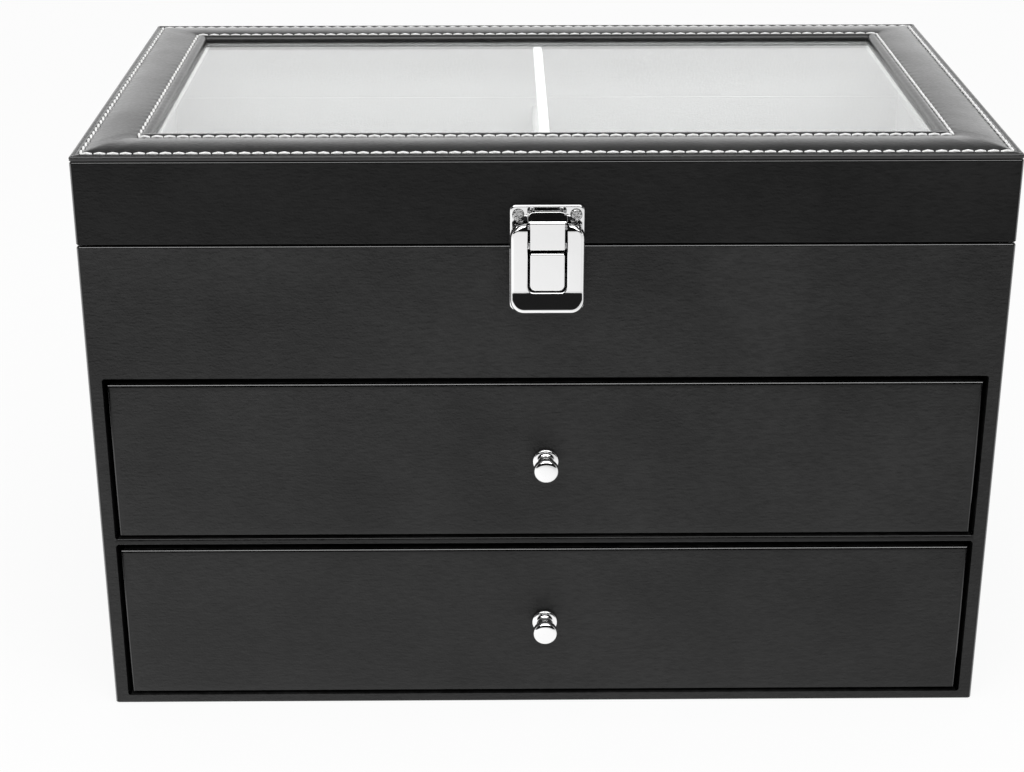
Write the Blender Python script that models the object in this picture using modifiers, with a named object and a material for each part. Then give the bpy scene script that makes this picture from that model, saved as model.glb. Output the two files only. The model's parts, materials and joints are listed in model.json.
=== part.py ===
"""An eyewear storage box covered in black leather, in metres, +Z up, its origin under the middle of the case.

The case holds a top compartment and two drawers. The lid has a padded frame round a glass window,
turns on two hinges at the back and is held shut by a draw latch at the front.
"""

import math

import bmesh
import bpy
from mathutils import Matrix, Vector

# Overall size of the case with its lid shut
WIDTH = 0.335
DEPTH = 0.193
HEIGHT = 0.225
LID_HEIGHT = 0.035
SEAM_GAP = 0.0005

# Fits that every piece shares
FIT = 0.0003  # between pieces that rest on each other
PIN_PLAY = 0.0001  # between a pin and its hole, at the radius
OVERRUN = 0.002  # how far a cutter runs past what it cuts
WELD = 0.000001
ROUND_STEPS = 20  # sides of a small round piece
CORNER_STEPS = 5  # steps of a rounded corner

# Covered boards
WALL = 0.0052
BASE = 0.0036
SHELF = 0.0024
TRAY_FLOOR = 0.003
BOARD_EDGE = 0.0008
BOARD_EDGE_STEPS = 2

# Drawer bays
BAY_HEIGHT = 0.0662

# Velvet linings and their divider grids
LINING = 0.001
LINING_DROP = 0.0012  # lining top under the edge of the board that it covers
GRID_WALL = 0.004
GRID_DROP = 0.002  # grid top under the lining's top
GRID_ROWS = 3

# Drawers
DRAWER_FRONT = 0.005
DRAWER_SIDE_GAP = 0.0016
DRAWER_FOOT_GAP = 0.0014
DRAWER_HEAD_GAP = 0.0025
DRAWER_WALL = 0.003
DRAWER_BOTTOM = 0.0025
DRAWER_SIDE_DROP = 0.0095  # sides under the top of the bay
DRAWER_BACK_GAP = 0.002
DRAWER_EDGE = 0.001

# Padded frame of the lid
FRAME_HEIGHT = 0.0035  # from the seam over the lid's walls to the top of the pad
RIM_WIDTH = 0.0035  # flat strip outside the outer stitching
RIM_DROP = 0.0016  # rim under the top of the pad
RIM_CHAMFER = 0.0006
PAD_WIDTH = 0.0175  # between the two rows of stitching
LIP_WIDTH = 0.0045  # inside the inner stitching, down to the window
LIP_DROP = 0.0024  # lip's edge under the top of the pad
FRAME_CORNER = 0.0012
FRAME_CORNER_STEPS = 3
# The crown of the pad: how far across it, and how far up from the rim to its top
CROWN_SHARES = ((0.05, 0.3), (0.15, 0.62), (0.35, 0.92), (0.62, 1.0), (0.85, 0.93), (1.0, 0.75))
LIP_SHARES = ((0.5, 0.45), (1.0, 1.0))

# Window
GLASS = 0.002
GLASS_LAP = 0.005  # glass past the window's edge
LINING_REVEAL = 0.001  # lining inside the window's edge
BAR_WIDTH = 0.0038
BAR_DEPTH = 0.0022
BAR_LAP = 0.0058  # bar past the lining's opening, at each end

# Hinges
HINGE_INSET = 0.0575  # from the end of the back to the hinge's middle
LEAF_LENGTH = 0.028
LEAF_HEIGHT = 0.013
LEAF = 0.001
KNUCKLE_RADIUS = 0.0022
HINGE_PIN_RADIUS = 0.0012
HINGE_SCREW_SPACING = 0.016
HINGE_SCREW_RISE_SHARE = 0.5

# Screws of the hinges and the latch
SCREW_HEAD_RADIUS = 0.0022
SCREW_HEAD = 0.0011
SCREW_HEAD_FLAT_SHARE = 0.45
SCREW_SHANK_RADIUS = 0.0009
SCREW_LENGTH = 0.0055
SCREW_POINT = 0.0012
SCREW_CROSS = 0.0006  # width of the driver's recess
SCREW_CROSS_SPAN = 0.0024
SCREW_CROSS_DEPTH = 0.0006
SCREW_HOLE_DEPTH = 0.0047

# Knobs
KNOB_LENGTH = 0.011
KNOB_FLANGE_RADIUS = 0.0048
KNOB_FLANGE = 0.0013
KNOB_NECK_RADIUS = 0.0026
KNOB_HEAD_RADIUS = 0.0046
KNOB_HEAD = 0.0042
KNOB_ROUND = 0.0008
KNOB_HOLE_RADIUS = 0.0019
KNOB_HOLE_DEPTH = 0.0068
KNOB_SCREW_RADIUS = 0.0017
KNOB_SCREW_REACH = 0.006  # into the knob
KNOB_SCREW_HEAD_RADIUS = 0.0036
KNOB_SCREW_HEAD = 0.0021

# Latch, measured outwards from the front of the case and up or down from the seam
LATCH_WIDTH = 0.0267
LATCH_SHEET = 0.001
LATCH_THIN = 0.0008  # its bent and curled sheet
LATCH_CORNER = 0.0022
LATCH_EDGE = 0.0005
LATCH_PIN_RADIUS = 0.0009
PIN_END = 0.0001  # pin short of the outer face that it passes through
KEEPER_LOW = 0.0006
KEEPER_HIGH = 0.0154
KEEPER_SCREW_SPACING = 0.0205
KEEPER_SCREW_RISE = 0.0118
CATCH_WIDTH = 0.012
CATCH_SHELF_RISE = 0.0095
CATCH_LIP_OUT = 0.0054
CATCH_LIP_RISE = 0.0122
BASE_PLATE_LOW = 0.0245
BASE_PLATE_HIGH = 0.0006
BASE_SCREW_SPACING = 0.018
BASE_SCREW_FALL = 0.009
ISLAND_WIDTH = 0.0128
ISLAND_LOW = 0.0153
ISLAND_HIGH = 0.0008
ISLAND_OUT = 0.0072
ISLAND_CORNER = 0.0023
LEVER_PIN_OUT = 0.0046
LEVER_PIN_RISE = 0.0081
EAR_INSIDE = 0.0116  # from the latch's middle to an ear
EAR = 0.0006
EAR_RADIUS = 0.002
EAR_OUT = 0.0029
EAR_LOW = 0.012
EAR_NECK_RISE = 0.0058
EAR_FLARE_RISE = 0.0034  # where the ear's front edge starts out towards the pin
LEVER_WIDTH = 0.0263
LEVER_HIGH = 0.0101
LEVER_LOW = 0.0225
LEVER_OUT = 0.0068  # to the back of its plate
LEVER_SHOULDER = 0.0055
LEVER_TAIL = 0.0062  # height of the finger lip
LEVER_TAIL_OUT = 0.002
LEVER_TAIL_SHARES = ((0.35, 0.15), (0.7, 0.5))  # down the finger lip, and out along it
WINDOW_WIDTH = 0.0142
WINDOW_LOW = 0.0157
WINDOW_CORNER = 0.0023
FLANGE = 0.0007
FLANGE_OUT = 0.0022
FLANGE_RADIUS = 0.0026
FLANGE_LOW = 0.0145
HOOK_PIN_OUT = 0.0046
HOOK_PIN_RISE = 0.0016
HOOK_BARREL_RADIUS = 0.0017
HOOK_WIDTH = 0.0128
HOOK_SIDE_STEP = 0.0001  # barrel inside the plate's width
HOOK_HEAD_WIDTH = 0.0136
HOOK_HEAD_CORNER = 0.0019
HOOK_OUT = 0.0068  # to the back of its plate
HOOK_FOOT_RISE = 0.0006
HOOK_TOP = 0.0143
HOOK_CURL = 0.0017  # outer radius of the curl at its top
HOOK_TOOTH_LOW = 0.011

# Heights
SEAM = HEIGHT - LID_HEIGHT
CASE_TOP = SEAM - SEAM_GAP / 2
LID_LOW = SEAM + SEAM_GAP / 2
LOWER_BAY = BASE
SHELF_LOW = LOWER_BAY + BAY_HEIGHT
UPPER_BAY = SHELF_LOW + SHELF
TRAY_LOW = UPPER_BAY + BAY_HEIGHT
TRAY_TOP = TRAY_LOW + TRAY_FLOOR
FRAME_LOW = HEIGHT - FRAME_HEIGHT
RIM_TOP = HEIGHT - RIM_DROP
GLASS_TOP = FRAME_LOW - FIT
GLASS_LOW = GLASS_TOP - GLASS
LID_LINING_TOP = GLASS_LOW - FIT

# Plan: half sizes from the middle of the case
HALF_WIDTH = WIDTH / 2
HALF_DEPTH = DEPTH / 2
INNER_X = HALF_WIDTH - WALL
INNER_Y = HALF_DEPTH - WALL
BETWEEN_X = INNER_X - FIT
BETWEEN_Y = INNER_Y - FIT
BORDER = RIM_WIDTH + PAD_WIDTH + LIP_WIDTH
WINDOW_X = HALF_WIDTH - BORDER
WINDOW_Y = HALF_DEPTH - BORDER
HINGE_AXIS = Vector((0, HALF_DEPTH + FIT + KNUCKLE_RADIUS, SEAM))
LEVER_AXIS = Vector((0, -HALF_DEPTH - LEVER_PIN_OUT, SEAM + LEVER_PIN_RISE))
HOOK_AXIS = Vector((0, -HALF_DEPTH - HOOK_PIN_OUT, SEAM + HOOK_PIN_RISE))
KNOB_SCREW_GRIP = DRAWER_FRONT - KNOB_SCREW_HEAD  # of the drawer's front, under the screw's head


def clear_scene():
    for item in list(bpy.data.objects):
        bpy.data.objects.remove(item, do_unlink=True)


def make_collection(name):
    collection = bpy.data.collections.new(name)
    bpy.context.scene.collection.children.link(collection)
    return collection


def make_material(name, colour, roughness, metallic=0.0, alpha=1.0):
    material = bpy.data.materials.new(name)
    material.use_nodes = True
    shader = material.node_tree.nodes["Principled BSDF"]
    shader.inputs["Base Color"].default_value = (*colour, 1.0)
    shader.inputs["Roughness"].default_value = roughness
    shader.inputs["Metallic"].default_value = metallic
    shader.inputs["Alpha"].default_value = alpha
    return material


def make_pivot(name, place):
    """An empty on a joint's axis, which carries the pieces that move together."""
    pivot = bpy.data.objects.new(name, None)
    pivot.location = place
    PARTS.objects.link(pivot)
    return pivot


def data_from(mesh, name):
    data = bpy.data.meshes.new(name)
    mesh.to_mesh(data)
    mesh.free()
    return data


def place_copy(name, data, place, finish, pivot, turn=None):
    """An object that shows a mesh made about the origin, carried by a pivot."""
    item = bpy.data.objects.new(name, data)
    if not data.materials:
        data.materials.append(finish)
    item.location = Vector(place) - pivot.location
    if turn is not None:
        item.rotation_euler = turn
    item.parent = pivot
    PARTS.objects.link(item)
    return item


def add(name, mesh, finish, pivot):
    """An object from a mesh made in place, with its origin moved to the middle of its box."""
    low = Vector([min(vert.co[axis] for vert in mesh.verts) for axis in range(3)])
    high = Vector([max(vert.co[axis] for vert in mesh.verts) for axis in range(3)])
    middle = (low + high) / 2
    bmesh.ops.translate(mesh, vec=-middle, verts=mesh.verts)
    return place_copy(name, data_from(mesh, name), middle, finish, pivot)


def add_tool(mesh, name="tool"):
    """A shape that only cuts or joins another, left out of the model."""
    item = bpy.data.objects.new(name, data_from(mesh, name))
    item.hide_render = True
    item.display_type = "WIRE"
    TOOLS.objects.link(item)
    return item


def combine(item, mesh, operation):
    modifier = item.modifiers.new(operation.lower(), "BOOLEAN")
    modifier.operation = operation
    modifier.object = add_tool(mesh)
    return item


def cut(item, mesh):
    return combine(item, mesh, "DIFFERENCE")


def join(item, mesh):
    return combine(item, mesh, "UNION")


def box(low, high):
    low, high = Vector(low), Vector(high)
    mesh = bmesh.new()
    bmesh.ops.create_cube(mesh, size=1)
    bmesh.ops.scale(mesh, vec=high - low, verts=mesh.verts)
    bmesh.ops.translate(mesh, vec=(low + high) / 2, verts=mesh.verts)
    return mesh


def rounded_box(low, high, edge, steps=BOARD_EDGE_STEPS):
    mesh = box(low, high)
    bmesh.ops.bevel(
        mesh, geom=mesh.edges[:], offset=edge, offset_type="OFFSET", segments=steps, profile=0.5, affect="EDGES"
    )
    return mesh


def board(name, low, high, pivot, finish=None, edge=BOARD_EDGE):
    return add(name, rounded_box(low, high, edge), finish or LEATHER, pivot)


def rod(start, end, radius, steps=ROUND_STEPS):
    """A round bar between two points."""
    start, end = Vector(start), Vector(end)
    mesh = bmesh.new()
    bmesh.ops.create_cone(
        mesh, cap_ends=True, segments=steps, radius1=radius, radius2=radius, depth=(end - start).length
    )
    turn = (end - start).to_track_quat("Z", "Y").to_matrix()
    bmesh.ops.rotate(mesh, matrix=turn, verts=mesh.verts)
    bmesh.ops.translate(mesh, vec=(start + end) / 2, verts=mesh.verts)
    return mesh


def face_towards(mesh, direction):
    """The flat face that lies furthest along a direction."""
    direction = Vector(direction)
    facing = [face for face in mesh.faces if face.normal.dot(direction) > 0.9]
    return max(facing, key=lambda face: face.calc_center_median().dot(direction))


def sink(mesh, face, depth):
    """Pushes a face into the solid behind it."""
    inwards = -face.normal * depth
    made = bmesh.ops.extrude_discrete_faces(mesh, faces=[face])["faces"][0]
    bmesh.ops.translate(mesh, vec=inwards, verts=made.verts)
    return made


def inset(mesh, face, inwards, rise=0.0):
    bmesh.ops.inset_region(mesh, faces=[face], thickness=inwards, depth=rise, use_even_offset=True)
    return face


def tray(low, high, wall, mouth=1):
    """An open box with thin walls. Its mouth faces up, or down where mouth is -1."""
    mesh = box(low, high)
    mouth_face = face_towards(mesh, (0, 0, mouth))
    inset(mesh, mouth_face, wall)
    sink(mesh, mouth_face, high[2] - low[2] - wall)
    return mesh


def arc(middle, radius, start, end, steps=CORNER_STEPS):
    """Points from one angle to another, in degrees, anticlockwise where end is the larger."""
    angles = [math.radians(start + (end - start) * step / steps) for step in range(steps + 1)]
    return [(middle[0] + radius * math.cos(angle), middle[1] + radius * math.sin(angle)) for angle in angles]


def rounded_outline(left, right, low, high, low_radius, high_radius):
    """A rectangle with rounded corners, anticlockwise from its lower left."""
    return [
        *arc((left + low_radius, low + low_radius), low_radius, 180, 270),
        *arc((right - low_radius, low + low_radius), low_radius, 270, 360),
        *arc((right - high_radius, high - high_radius), high_radius, 0, 90),
        *arc((left + high_radius, high - high_radius), high_radius, 90, 180),
    ]


def sheet(outline, thickness):
    """A flat outline with a thickness, centred on the XY plane."""
    curve = bpy.data.curves.new("outline", "CURVE")
    curve.dimensions = "2D"
    curve.fill_mode = "BOTH"
    curve.extrude = thickness / 2
    spline = curve.splines.new("POLY")
    spline.points.add(len(outline) - 1)
    for point, place in zip(spline.points, outline):
        point.co = (*place, 0, 1)
    spline.use_cyclic_u = True
    item = bpy.data.objects.new("outline", curve)
    TOOLS.objects.link(item)
    graph = bpy.context.evaluated_depsgraph_get()
    data = bpy.data.meshes.new_from_object(item.evaluated_get(graph))
    mesh = bmesh.new()
    mesh.from_mesh(data)
    bmesh.ops.remove_doubles(mesh, verts=mesh.verts, dist=WELD)
    bmesh.ops.recalc_face_normals(mesh, faces=mesh.faces)
    bpy.data.objects.remove(item)
    bpy.data.meshes.remove(data)
    return mesh


def front_sheet(outline, out, thickness):
    """A sheet that faces forwards. Its outline is in X and height from the seam, its back out from the case."""
    mesh = sheet(outline, thickness)
    bmesh.ops.rotate(mesh, matrix=Matrix.Rotation(math.radians(90), 3, "X"), verts=mesh.verts)
    middle = (0, -HALF_DEPTH - out - thickness / 2, SEAM)
    bmesh.ops.translate(mesh, vec=middle, verts=mesh.verts)
    return mesh


def side_sheet(outline, low_x, high_x):
    """A sheet that faces sideways. Its outline is in distance out from the case and height from the seam."""
    mesh = sheet([(-HALF_DEPTH - out, SEAM + rise) for out, rise in outline], high_x - low_x)
    turn = Matrix(((0, 0, 1), (1, 0, 0), (0, 1, 0)))
    bmesh.ops.rotate(mesh, matrix=turn, verts=mesh.verts)
    bmesh.ops.translate(mesh, vec=((low_x + high_x) / 2, 0, 0), verts=mesh.verts)
    return mesh


def turned(name, profile):
    """A solid of revolution about the Z axis from its radii and heights, top to bottom, as mesh data."""
    mesh = bmesh.new()
    verts = [mesh.verts.new((radius, 0, height)) for radius, height in profile]
    for first, second in zip(verts, verts[1:]):
        mesh.edges.new((first, second))
    item = add_tool(mesh, name)
    screw = item.modifiers.new("turn", "SCREW")
    screw.axis = "Z"
    screw.steps = ROUND_STEPS
    screw.render_steps = ROUND_STEPS
    screw.use_merge_vertices = True
    screw.merge_threshold = WELD
    return item


def finished_data(item, name):
    """The mesh that an object's modifiers leave, as data that copies can share. The object goes."""
    graph = bpy.context.evaluated_depsgraph_get()
    data = bpy.data.meshes.new_from_object(item.evaluated_get(graph))
    data.name = name
    data.shade_smooth()
    data.set_sharp_from_angle(angle=math.radians(35))
    bpy.data.objects.remove(item)
    return data


def make_screw_data():
    """A small pan-head screw along Z, its head up and the underside of its head at the origin."""
    flat = SCREW_HEAD_RADIUS * SCREW_HEAD_FLAT_SHARE
    item = turned("small_screw", [
        (0, SCREW_HEAD),
        (flat, SCREW_HEAD),
        (SCREW_HEAD_RADIUS, SCREW_HEAD / 3),
        (SCREW_HEAD_RADIUS, 0),
        (SCREW_SHANK_RADIUS, 0),
        (SCREW_SHANK_RADIUS, SCREW_POINT - SCREW_LENGTH),
        (0, -SCREW_LENGTH),
    ])
    recess = (SCREW_HEAD - SCREW_CROSS_DEPTH, SCREW_HEAD + OVERRUN)
    half, span = SCREW_CROSS / 2, SCREW_CROSS_SPAN / 2
    cut(item, box((-half, -span, recess[0]), (half, span, recess[1])))
    cut(item, box((-span, -half, recess[0]), (span, half, recess[1])))
    return finished_data(item, "small_screw")


def make_knob_data():
    """A turned knob along Z, standing on the origin, with a blind hole for its screw."""
    head_low = KNOB_LENGTH - KNOB_HEAD
    item = turned("knob", [
        (0, KNOB_LENGTH),
        (KNOB_HEAD_RADIUS - KNOB_ROUND, KNOB_LENGTH - KNOB_ROUND / 3),
        (KNOB_HEAD_RADIUS, KNOB_LENGTH - KNOB_ROUND),
        (KNOB_HEAD_RADIUS, head_low + KNOB_ROUND),
        (KNOB_HEAD_RADIUS - KNOB_ROUND, head_low),
        (KNOB_NECK_RADIUS, head_low - KNOB_ROUND),
        (KNOB_NECK_RADIUS, KNOB_FLANGE + KNOB_ROUND),
        (KNOB_FLANGE_RADIUS - KNOB_ROUND, KNOB_FLANGE),
        (KNOB_FLANGE_RADIUS, KNOB_FLANGE / 2),
        (KNOB_FLANGE_RADIUS, 0),
        (KNOB_HOLE_RADIUS, 0),
        (KNOB_HOLE_RADIUS, KNOB_HOLE_DEPTH),
        (0, KNOB_HOLE_DEPTH),
    ])
    return finished_data(item, "knob")


def make_knob_screw_data():
    """The screw that holds a knob, along Z, with the underside of its head at the origin."""
    item = turned("knob_screw", [
        (0, KNOB_SCREW_REACH + KNOB_SCREW_GRIP),
        (KNOB_SCREW_RADIUS, KNOB_SCREW_REACH + KNOB_SCREW_GRIP),
        (KNOB_SCREW_RADIUS, 0),
        (KNOB_SCREW_HEAD_RADIUS, 0),
        (KNOB_SCREW_HEAD_RADIUS, -KNOB_SCREW_HEAD),
        (0, -KNOB_SCREW_HEAD),
    ])
    return finished_data(item, "knob_screw")


def drill(item, places, radius, depth, inwards):
    """Round blind holes from the surface at each place, towards inwards."""
    inwards = Vector(inwards)
    for place in places:
        start = Vector(place) - inwards * OVERRUN
        cut(item, rod(start, Vector(place) + inwards * depth, radius))


def place_screws(name, places, pivot, outwards):
    """Small screws with their heads on the places given, pointing outwards along Y."""
    turn = (math.radians(-90 * outwards), 0, 0)
    for label, place in places.items():
        seat = place + Vector((0, outwards * FIT, 0))
        place_copy(f"{name}_{label}", SCREW_DATA, seat, CHROME, pivot, turn)


def build_case(pivot):
    for name, side in (("left_side", -1), ("right_side", 1)):
        edges = sorted((side * HALF_WIDTH, side * INNER_X))
        board(name, (edges[0], -HALF_DEPTH, 0), (edges[1], HALF_DEPTH, CASE_TOP), pivot)
    board("bottom_panel", (-BETWEEN_X, -HALF_DEPTH, 0), (BETWEEN_X, BETWEEN_Y, BASE), pivot)
    board("drawer_shelf", (-BETWEEN_X, -HALF_DEPTH, SHELF_LOW), (BETWEEN_X, BETWEEN_Y, UPPER_BAY), pivot)
    back = board("back_panel", (-BETWEEN_X, INNER_Y, 0), (BETWEEN_X, HALF_DEPTH, CASE_TOP), pivot)
    apron = board("front_apron", (-BETWEEN_X, -HALF_DEPTH, TRAY_LOW), (BETWEEN_X, -INNER_Y, CASE_TOP), pivot)
    board("tray_floor", (-BETWEEN_X, -BETWEEN_Y, TRAY_LOW), (BETWEEN_X, BETWEEN_Y, TRAY_TOP), pivot)
    return apron, back


def build_lining(prefix, low, high, pivot):
    """A velvet lining between two corners, with a divider grid standing in it."""
    add(f"{prefix}_lining", tray(low, high, LINING), VELVET, pivot)
    inner_low = Vector(low) + Vector((LINING + FIT, LINING + FIT, LINING + FIT))
    inner_high = Vector(high) - Vector((LINING + FIT, LINING + FIT, GRID_DROP))
    middle = (inner_low + inner_high) / 2
    half = GRID_WALL / 2
    long_low = (middle.x - half, inner_low.y, inner_low.z)
    grid = add(f"{prefix}_divider", box(long_low, (middle.x + half, inner_high.y, inner_high.z)), VELVET, pivot)
    pitch = (inner_high.y - inner_low.y - (GRID_ROWS - 1) * GRID_WALL) / GRID_ROWS + GRID_WALL
    for row in range(1, GRID_ROWS):
        front = inner_low.y + row * pitch - GRID_WALL
        join(grid, box((inner_low.x, front, inner_low.z), (inner_high.x, front + GRID_WALL, inner_high.z)))


def build_tray(pivot):
    low = (-BETWEEN_X, -BETWEEN_Y, TRAY_TOP + FIT)
    build_lining("tray", low, (BETWEEN_X, BETWEEN_Y, CASE_TOP - LINING_DROP), pivot)


def build_drawer(prefix, bay, pivot):
    half = INNER_X - DRAWER_SIDE_GAP
    front_back = -HALF_DEPTH + DRAWER_FRONT
    foot = bay + FIT
    rear = INNER_Y - DRAWER_BACK_GAP
    side_top = bay + BAY_HEIGHT - DRAWER_SIDE_DROP
    front_low = bay + DRAWER_FOOT_GAP
    front_top = bay + BAY_HEIGHT - DRAWER_HEAD_GAP
    inside_x = half - DRAWER_WALL - FIT
    inside_front = front_back + FIT
    inside_rear = rear - DRAWER_WALL - FIT
    knob_rise = (front_low + front_top) / 2
    front = board(
        f"{prefix}_front", (-half, -HALF_DEPTH, front_low), (half, front_back, front_top), pivot, edge=DRAWER_EDGE
    )
    for name, side in (("left_side", -1), ("right_side", 1)):
        edges = sorted((side * half, side * (half - DRAWER_WALL)))
        board(f"{prefix}_{name}", (edges[0], inside_front, foot), (edges[1], rear, side_top), pivot)
    board(f"{prefix}_back", (-inside_x, rear - DRAWER_WALL, foot), (inside_x, rear, side_top), pivot)
    bottom_top = foot + DRAWER_BOTTOM
    board(f"{prefix}_bottom", (-inside_x, inside_front, foot), (inside_x, inside_rear, bottom_top), pivot)
    low = (-inside_x, inside_front, bottom_top + FIT)
    build_lining(prefix, low, (inside_x, inside_rear, side_top - LINING_DROP), pivot)

    behind = Vector((0, front_back, knob_rise))
    cut(front, rod(behind + Vector((0, OVERRUN, 0)), behind - Vector((0, DRAWER_FRONT + OVERRUN, 0)),
                   KNOB_SCREW_RADIUS + FIT))
    drill(front, [behind], KNOB_SCREW_HEAD_RADIUS + FIT, KNOB_SCREW_HEAD + FIT, (0, -1, 0))
    turn = (math.radians(90), 0, 0)
    place_copy(f"{prefix}_knob", KNOB_DATA, (0, -HALF_DEPTH - FIT, knob_rise), CHROME, pivot, turn)
    seat = (0, front_back - KNOB_SCREW_HEAD, knob_rise)
    place_copy(f"{prefix}_knob_screw", KNOB_SCREW_DATA, seat, STEEL, pivot, turn)


def build_lid_walls(pivot):
    top = FRAME_LOW - FIT
    for name, side in (("lid_left", -1), ("lid_right", 1)):
        edges = sorted((side * HALF_WIDTH, side * INNER_X))
        board(name, (edges[0], -HALF_DEPTH, LID_LOW), (edges[1], HALF_DEPTH, top), pivot)
    front = board("lid_front", (-BETWEEN_X, -HALF_DEPTH, LID_LOW), (BETWEEN_X, -INNER_Y, top), pivot)
    back = board("lid_back", (-BETWEEN_X, INNER_Y, LID_LOW), (BETWEEN_X, HALF_DEPTH, top), pivot)
    return front, back


def build_lid_frame(pivot):
    """The padded frame: a crowned border outside, a rebate for the glass and a step inside the walls below."""
    mesh = box((-HALF_WIDTH, -HALF_DEPTH, FRAME_LOW), (HALF_WIDTH, HALF_DEPTH, RIM_TOP - RIM_CHAMFER))
    corners = [edge for edge in mesh.edges if abs(edge.verts[0].co.z - edge.verts[1].co.z) > FIT]
    top = face_towards(mesh, (0, 0, 1))
    inset(mesh, top, RIM_CHAMFER, RIM_CHAMFER)
    inset(mesh, top, RIM_WIDTH - RIM_CHAMFER)
    done, height = 0.0, 0.0
    for across, rise in CROWN_SHARES:
        inset(mesh, top, (across - done) * PAD_WIDTH, (rise - height) * RIM_DROP)
        done, height = across, rise
    drop = (height - 1) * RIM_DROP + LIP_DROP
    done = fallen = 0.0
    for across, fall in LIP_SHARES:
        inset(mesh, top, (across - done) * LIP_WIDTH, (fallen - fall) * drop)
        done, fallen = across, fall

    under = face_towards(mesh, (0, 0, -1))
    inset(mesh, under, WALL + FIT)
    inset(mesh, under, 0, GLASS + FIT)
    inset(mesh, under, BORDER - WALL - FIT - GLASS_LAP - FIT)
    inset(mesh, under, 0, -GLASS - FIT)
    inset(mesh, under, GLASS_LAP + FIT)
    bmesh.ops.delete(mesh, geom=[top, under], context="FACES_ONLY")
    bmesh.ops.bridge_loops(mesh, edges=[edge for edge in mesh.edges if edge.is_boundary])
    bmesh.ops.bevel(
        mesh, geom=corners, offset=FRAME_CORNER, offset_type="OFFSET", segments=FRAME_CORNER_STEPS, profile=0.5,
        affect="EDGES"
    )
    add("lid_top_frame", mesh, LEATHER, pivot)


def build_window(pivot):
    lap_x, lap_y = WINDOW_X + GLASS_LAP, WINDOW_Y + GLASS_LAP
    add("window_glass", box((-lap_x, -lap_y, GLASS_LOW), (lap_x, lap_y, GLASS_TOP)), GLASS_FINISH, pivot)
    lining = add("lid_lining", tray(
        (-BETWEEN_X, -BETWEEN_Y, LID_LOW + LINING_DROP), (BETWEEN_X, BETWEEN_Y, LID_LINING_TOP), LINING, mouth=-1
    ), VELVET, pivot)
    open_x, open_y = WINDOW_X - LINING_REVEAL, WINDOW_Y - LINING_REVEAL
    cut(lining, box(
        (-open_x, -open_y, LID_LINING_TOP - LINING - OVERRUN), (open_x, open_y, LID_LINING_TOP + OVERRUN)
    ))
    bar_top = LID_LINING_TOP - LINING - FIT
    bar_end = open_y + BAR_LAP
    half = BAR_WIDTH / 2
    board(
        "window_bar", (-half, -bar_end, bar_top - BAR_DEPTH), (half, bar_end, bar_top), pivot, VELVET,
        BAR_DEPTH / 4
    )


def build_leaf(name, middle_x, knuckles, direction, pivot):
    """One leaf of a hinge: a plate on the back of the box, with the knuckles given by their ends in X."""
    near = HALF_DEPTH + FIT
    far = near + LEAF
    start = SEAM + direction * (KNUCKLE_RADIUS + FIT)
    end = start + direction * LEAF_HEIGHT
    low, high = sorted((start, end))
    half = LEAF_LENGTH / 2
    leaf = add(name, box((middle_x - half, near, low), (middle_x + half, far, high)), STEEL, pivot)
    for left, right in knuckles:
        web = sorted((SEAM + direction * KNUCKLE_RADIUS / 4, start + direction * LEAF))
        join(leaf, box((left, near, web[0]), (right, far, web[1])))
        join(leaf, rod((left, HINGE_AXIS.y, SEAM), (right, HINGE_AXIS.y, SEAM), KNUCKLE_RADIUS))
    bore = ((middle_x - half - OVERRUN, HINGE_AXIS.y, SEAM), (middle_x + half + OVERRUN, HINGE_AXIS.y, SEAM))
    cut(leaf, rod(*bore, HINGE_PIN_RADIUS + PIN_PLAY))
    rise = start + (end - start) * HINGE_SCREW_RISE_SHARE
    places = {
        label: Vector((middle_x + side * HINGE_SCREW_SPACING / 2, far, rise))
        for label, side in (("left", -1), ("right", 1))
    }
    drill(leaf, places.values(), SCREW_SHANK_RADIUS + PIN_PLAY, LEAF + OVERRUN, (0, -1, 0))
    return places


def build_hinges(case, lid, back, lid_back):
    third = LEAF_LENGTH / 3
    for label, side in (("left", -1), ("right", 1)):
        middle_x = side * (HALF_WIDTH - HINGE_INSET)
        left = middle_x - LEAF_LENGTH / 2
        ends = [(left + third * step + FIT / 2, left + third * (step + 1) - FIT / 2) for step in range(3)]
        outer = [(left, ends[0][1]), (ends[2][0], left + LEAF_LENGTH)]
        for part, knuckles, direction, pivot, carrier in (
            ("case", outer, -1, case, back),
            ("lid", [ends[1]], 1, lid, lid_back),
        ):
            name = f"hinge_{label}_{part}"
            places = build_leaf(f"{name}_leaf", middle_x, knuckles, direction, pivot)
            holes = [place - Vector((0, LEAF + FIT, 0)) for place in places.values()]
            drill(carrier, holes, SCREW_SHANK_RADIUS + FIT, SCREW_HOLE_DEPTH, (0, -1, 0))
            place_screws(f"{name}_screw", places, pivot, 1)
        half = LEAF_LENGTH / 2
        pin = rod((middle_x - half, HINGE_AXIS.y, SEAM), (middle_x + half, HINGE_AXIS.y, SEAM), HINGE_PIN_RADIUS)
        add(f"hinge_{label}_pin", pin, STEEL, case)


def latch_screws(item, carrier, name, spacing, rise, pivot):
    """Two screws through a latch plate into the board behind it."""
    surface = -HALF_DEPTH - FIT - LATCH_SHEET
    places = {
        label: Vector((side * spacing / 2, surface, SEAM + rise)) for label, side in (("left", -1), ("right", 1))
    }
    through = LATCH_SHEET + OVERRUN
    drill(item, places.values(), SCREW_SHANK_RADIUS + PIN_PLAY, through, (0, 1, 0))
    holes = [place + Vector((0, FIT + LATCH_SHEET, 0)) for place in places.values()]
    drill(carrier, holes, SCREW_SHANK_RADIUS + FIT, SCREW_HOLE_DEPTH, (0, 1, 0))
    place_screws(name, places, pivot, -1)


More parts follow.
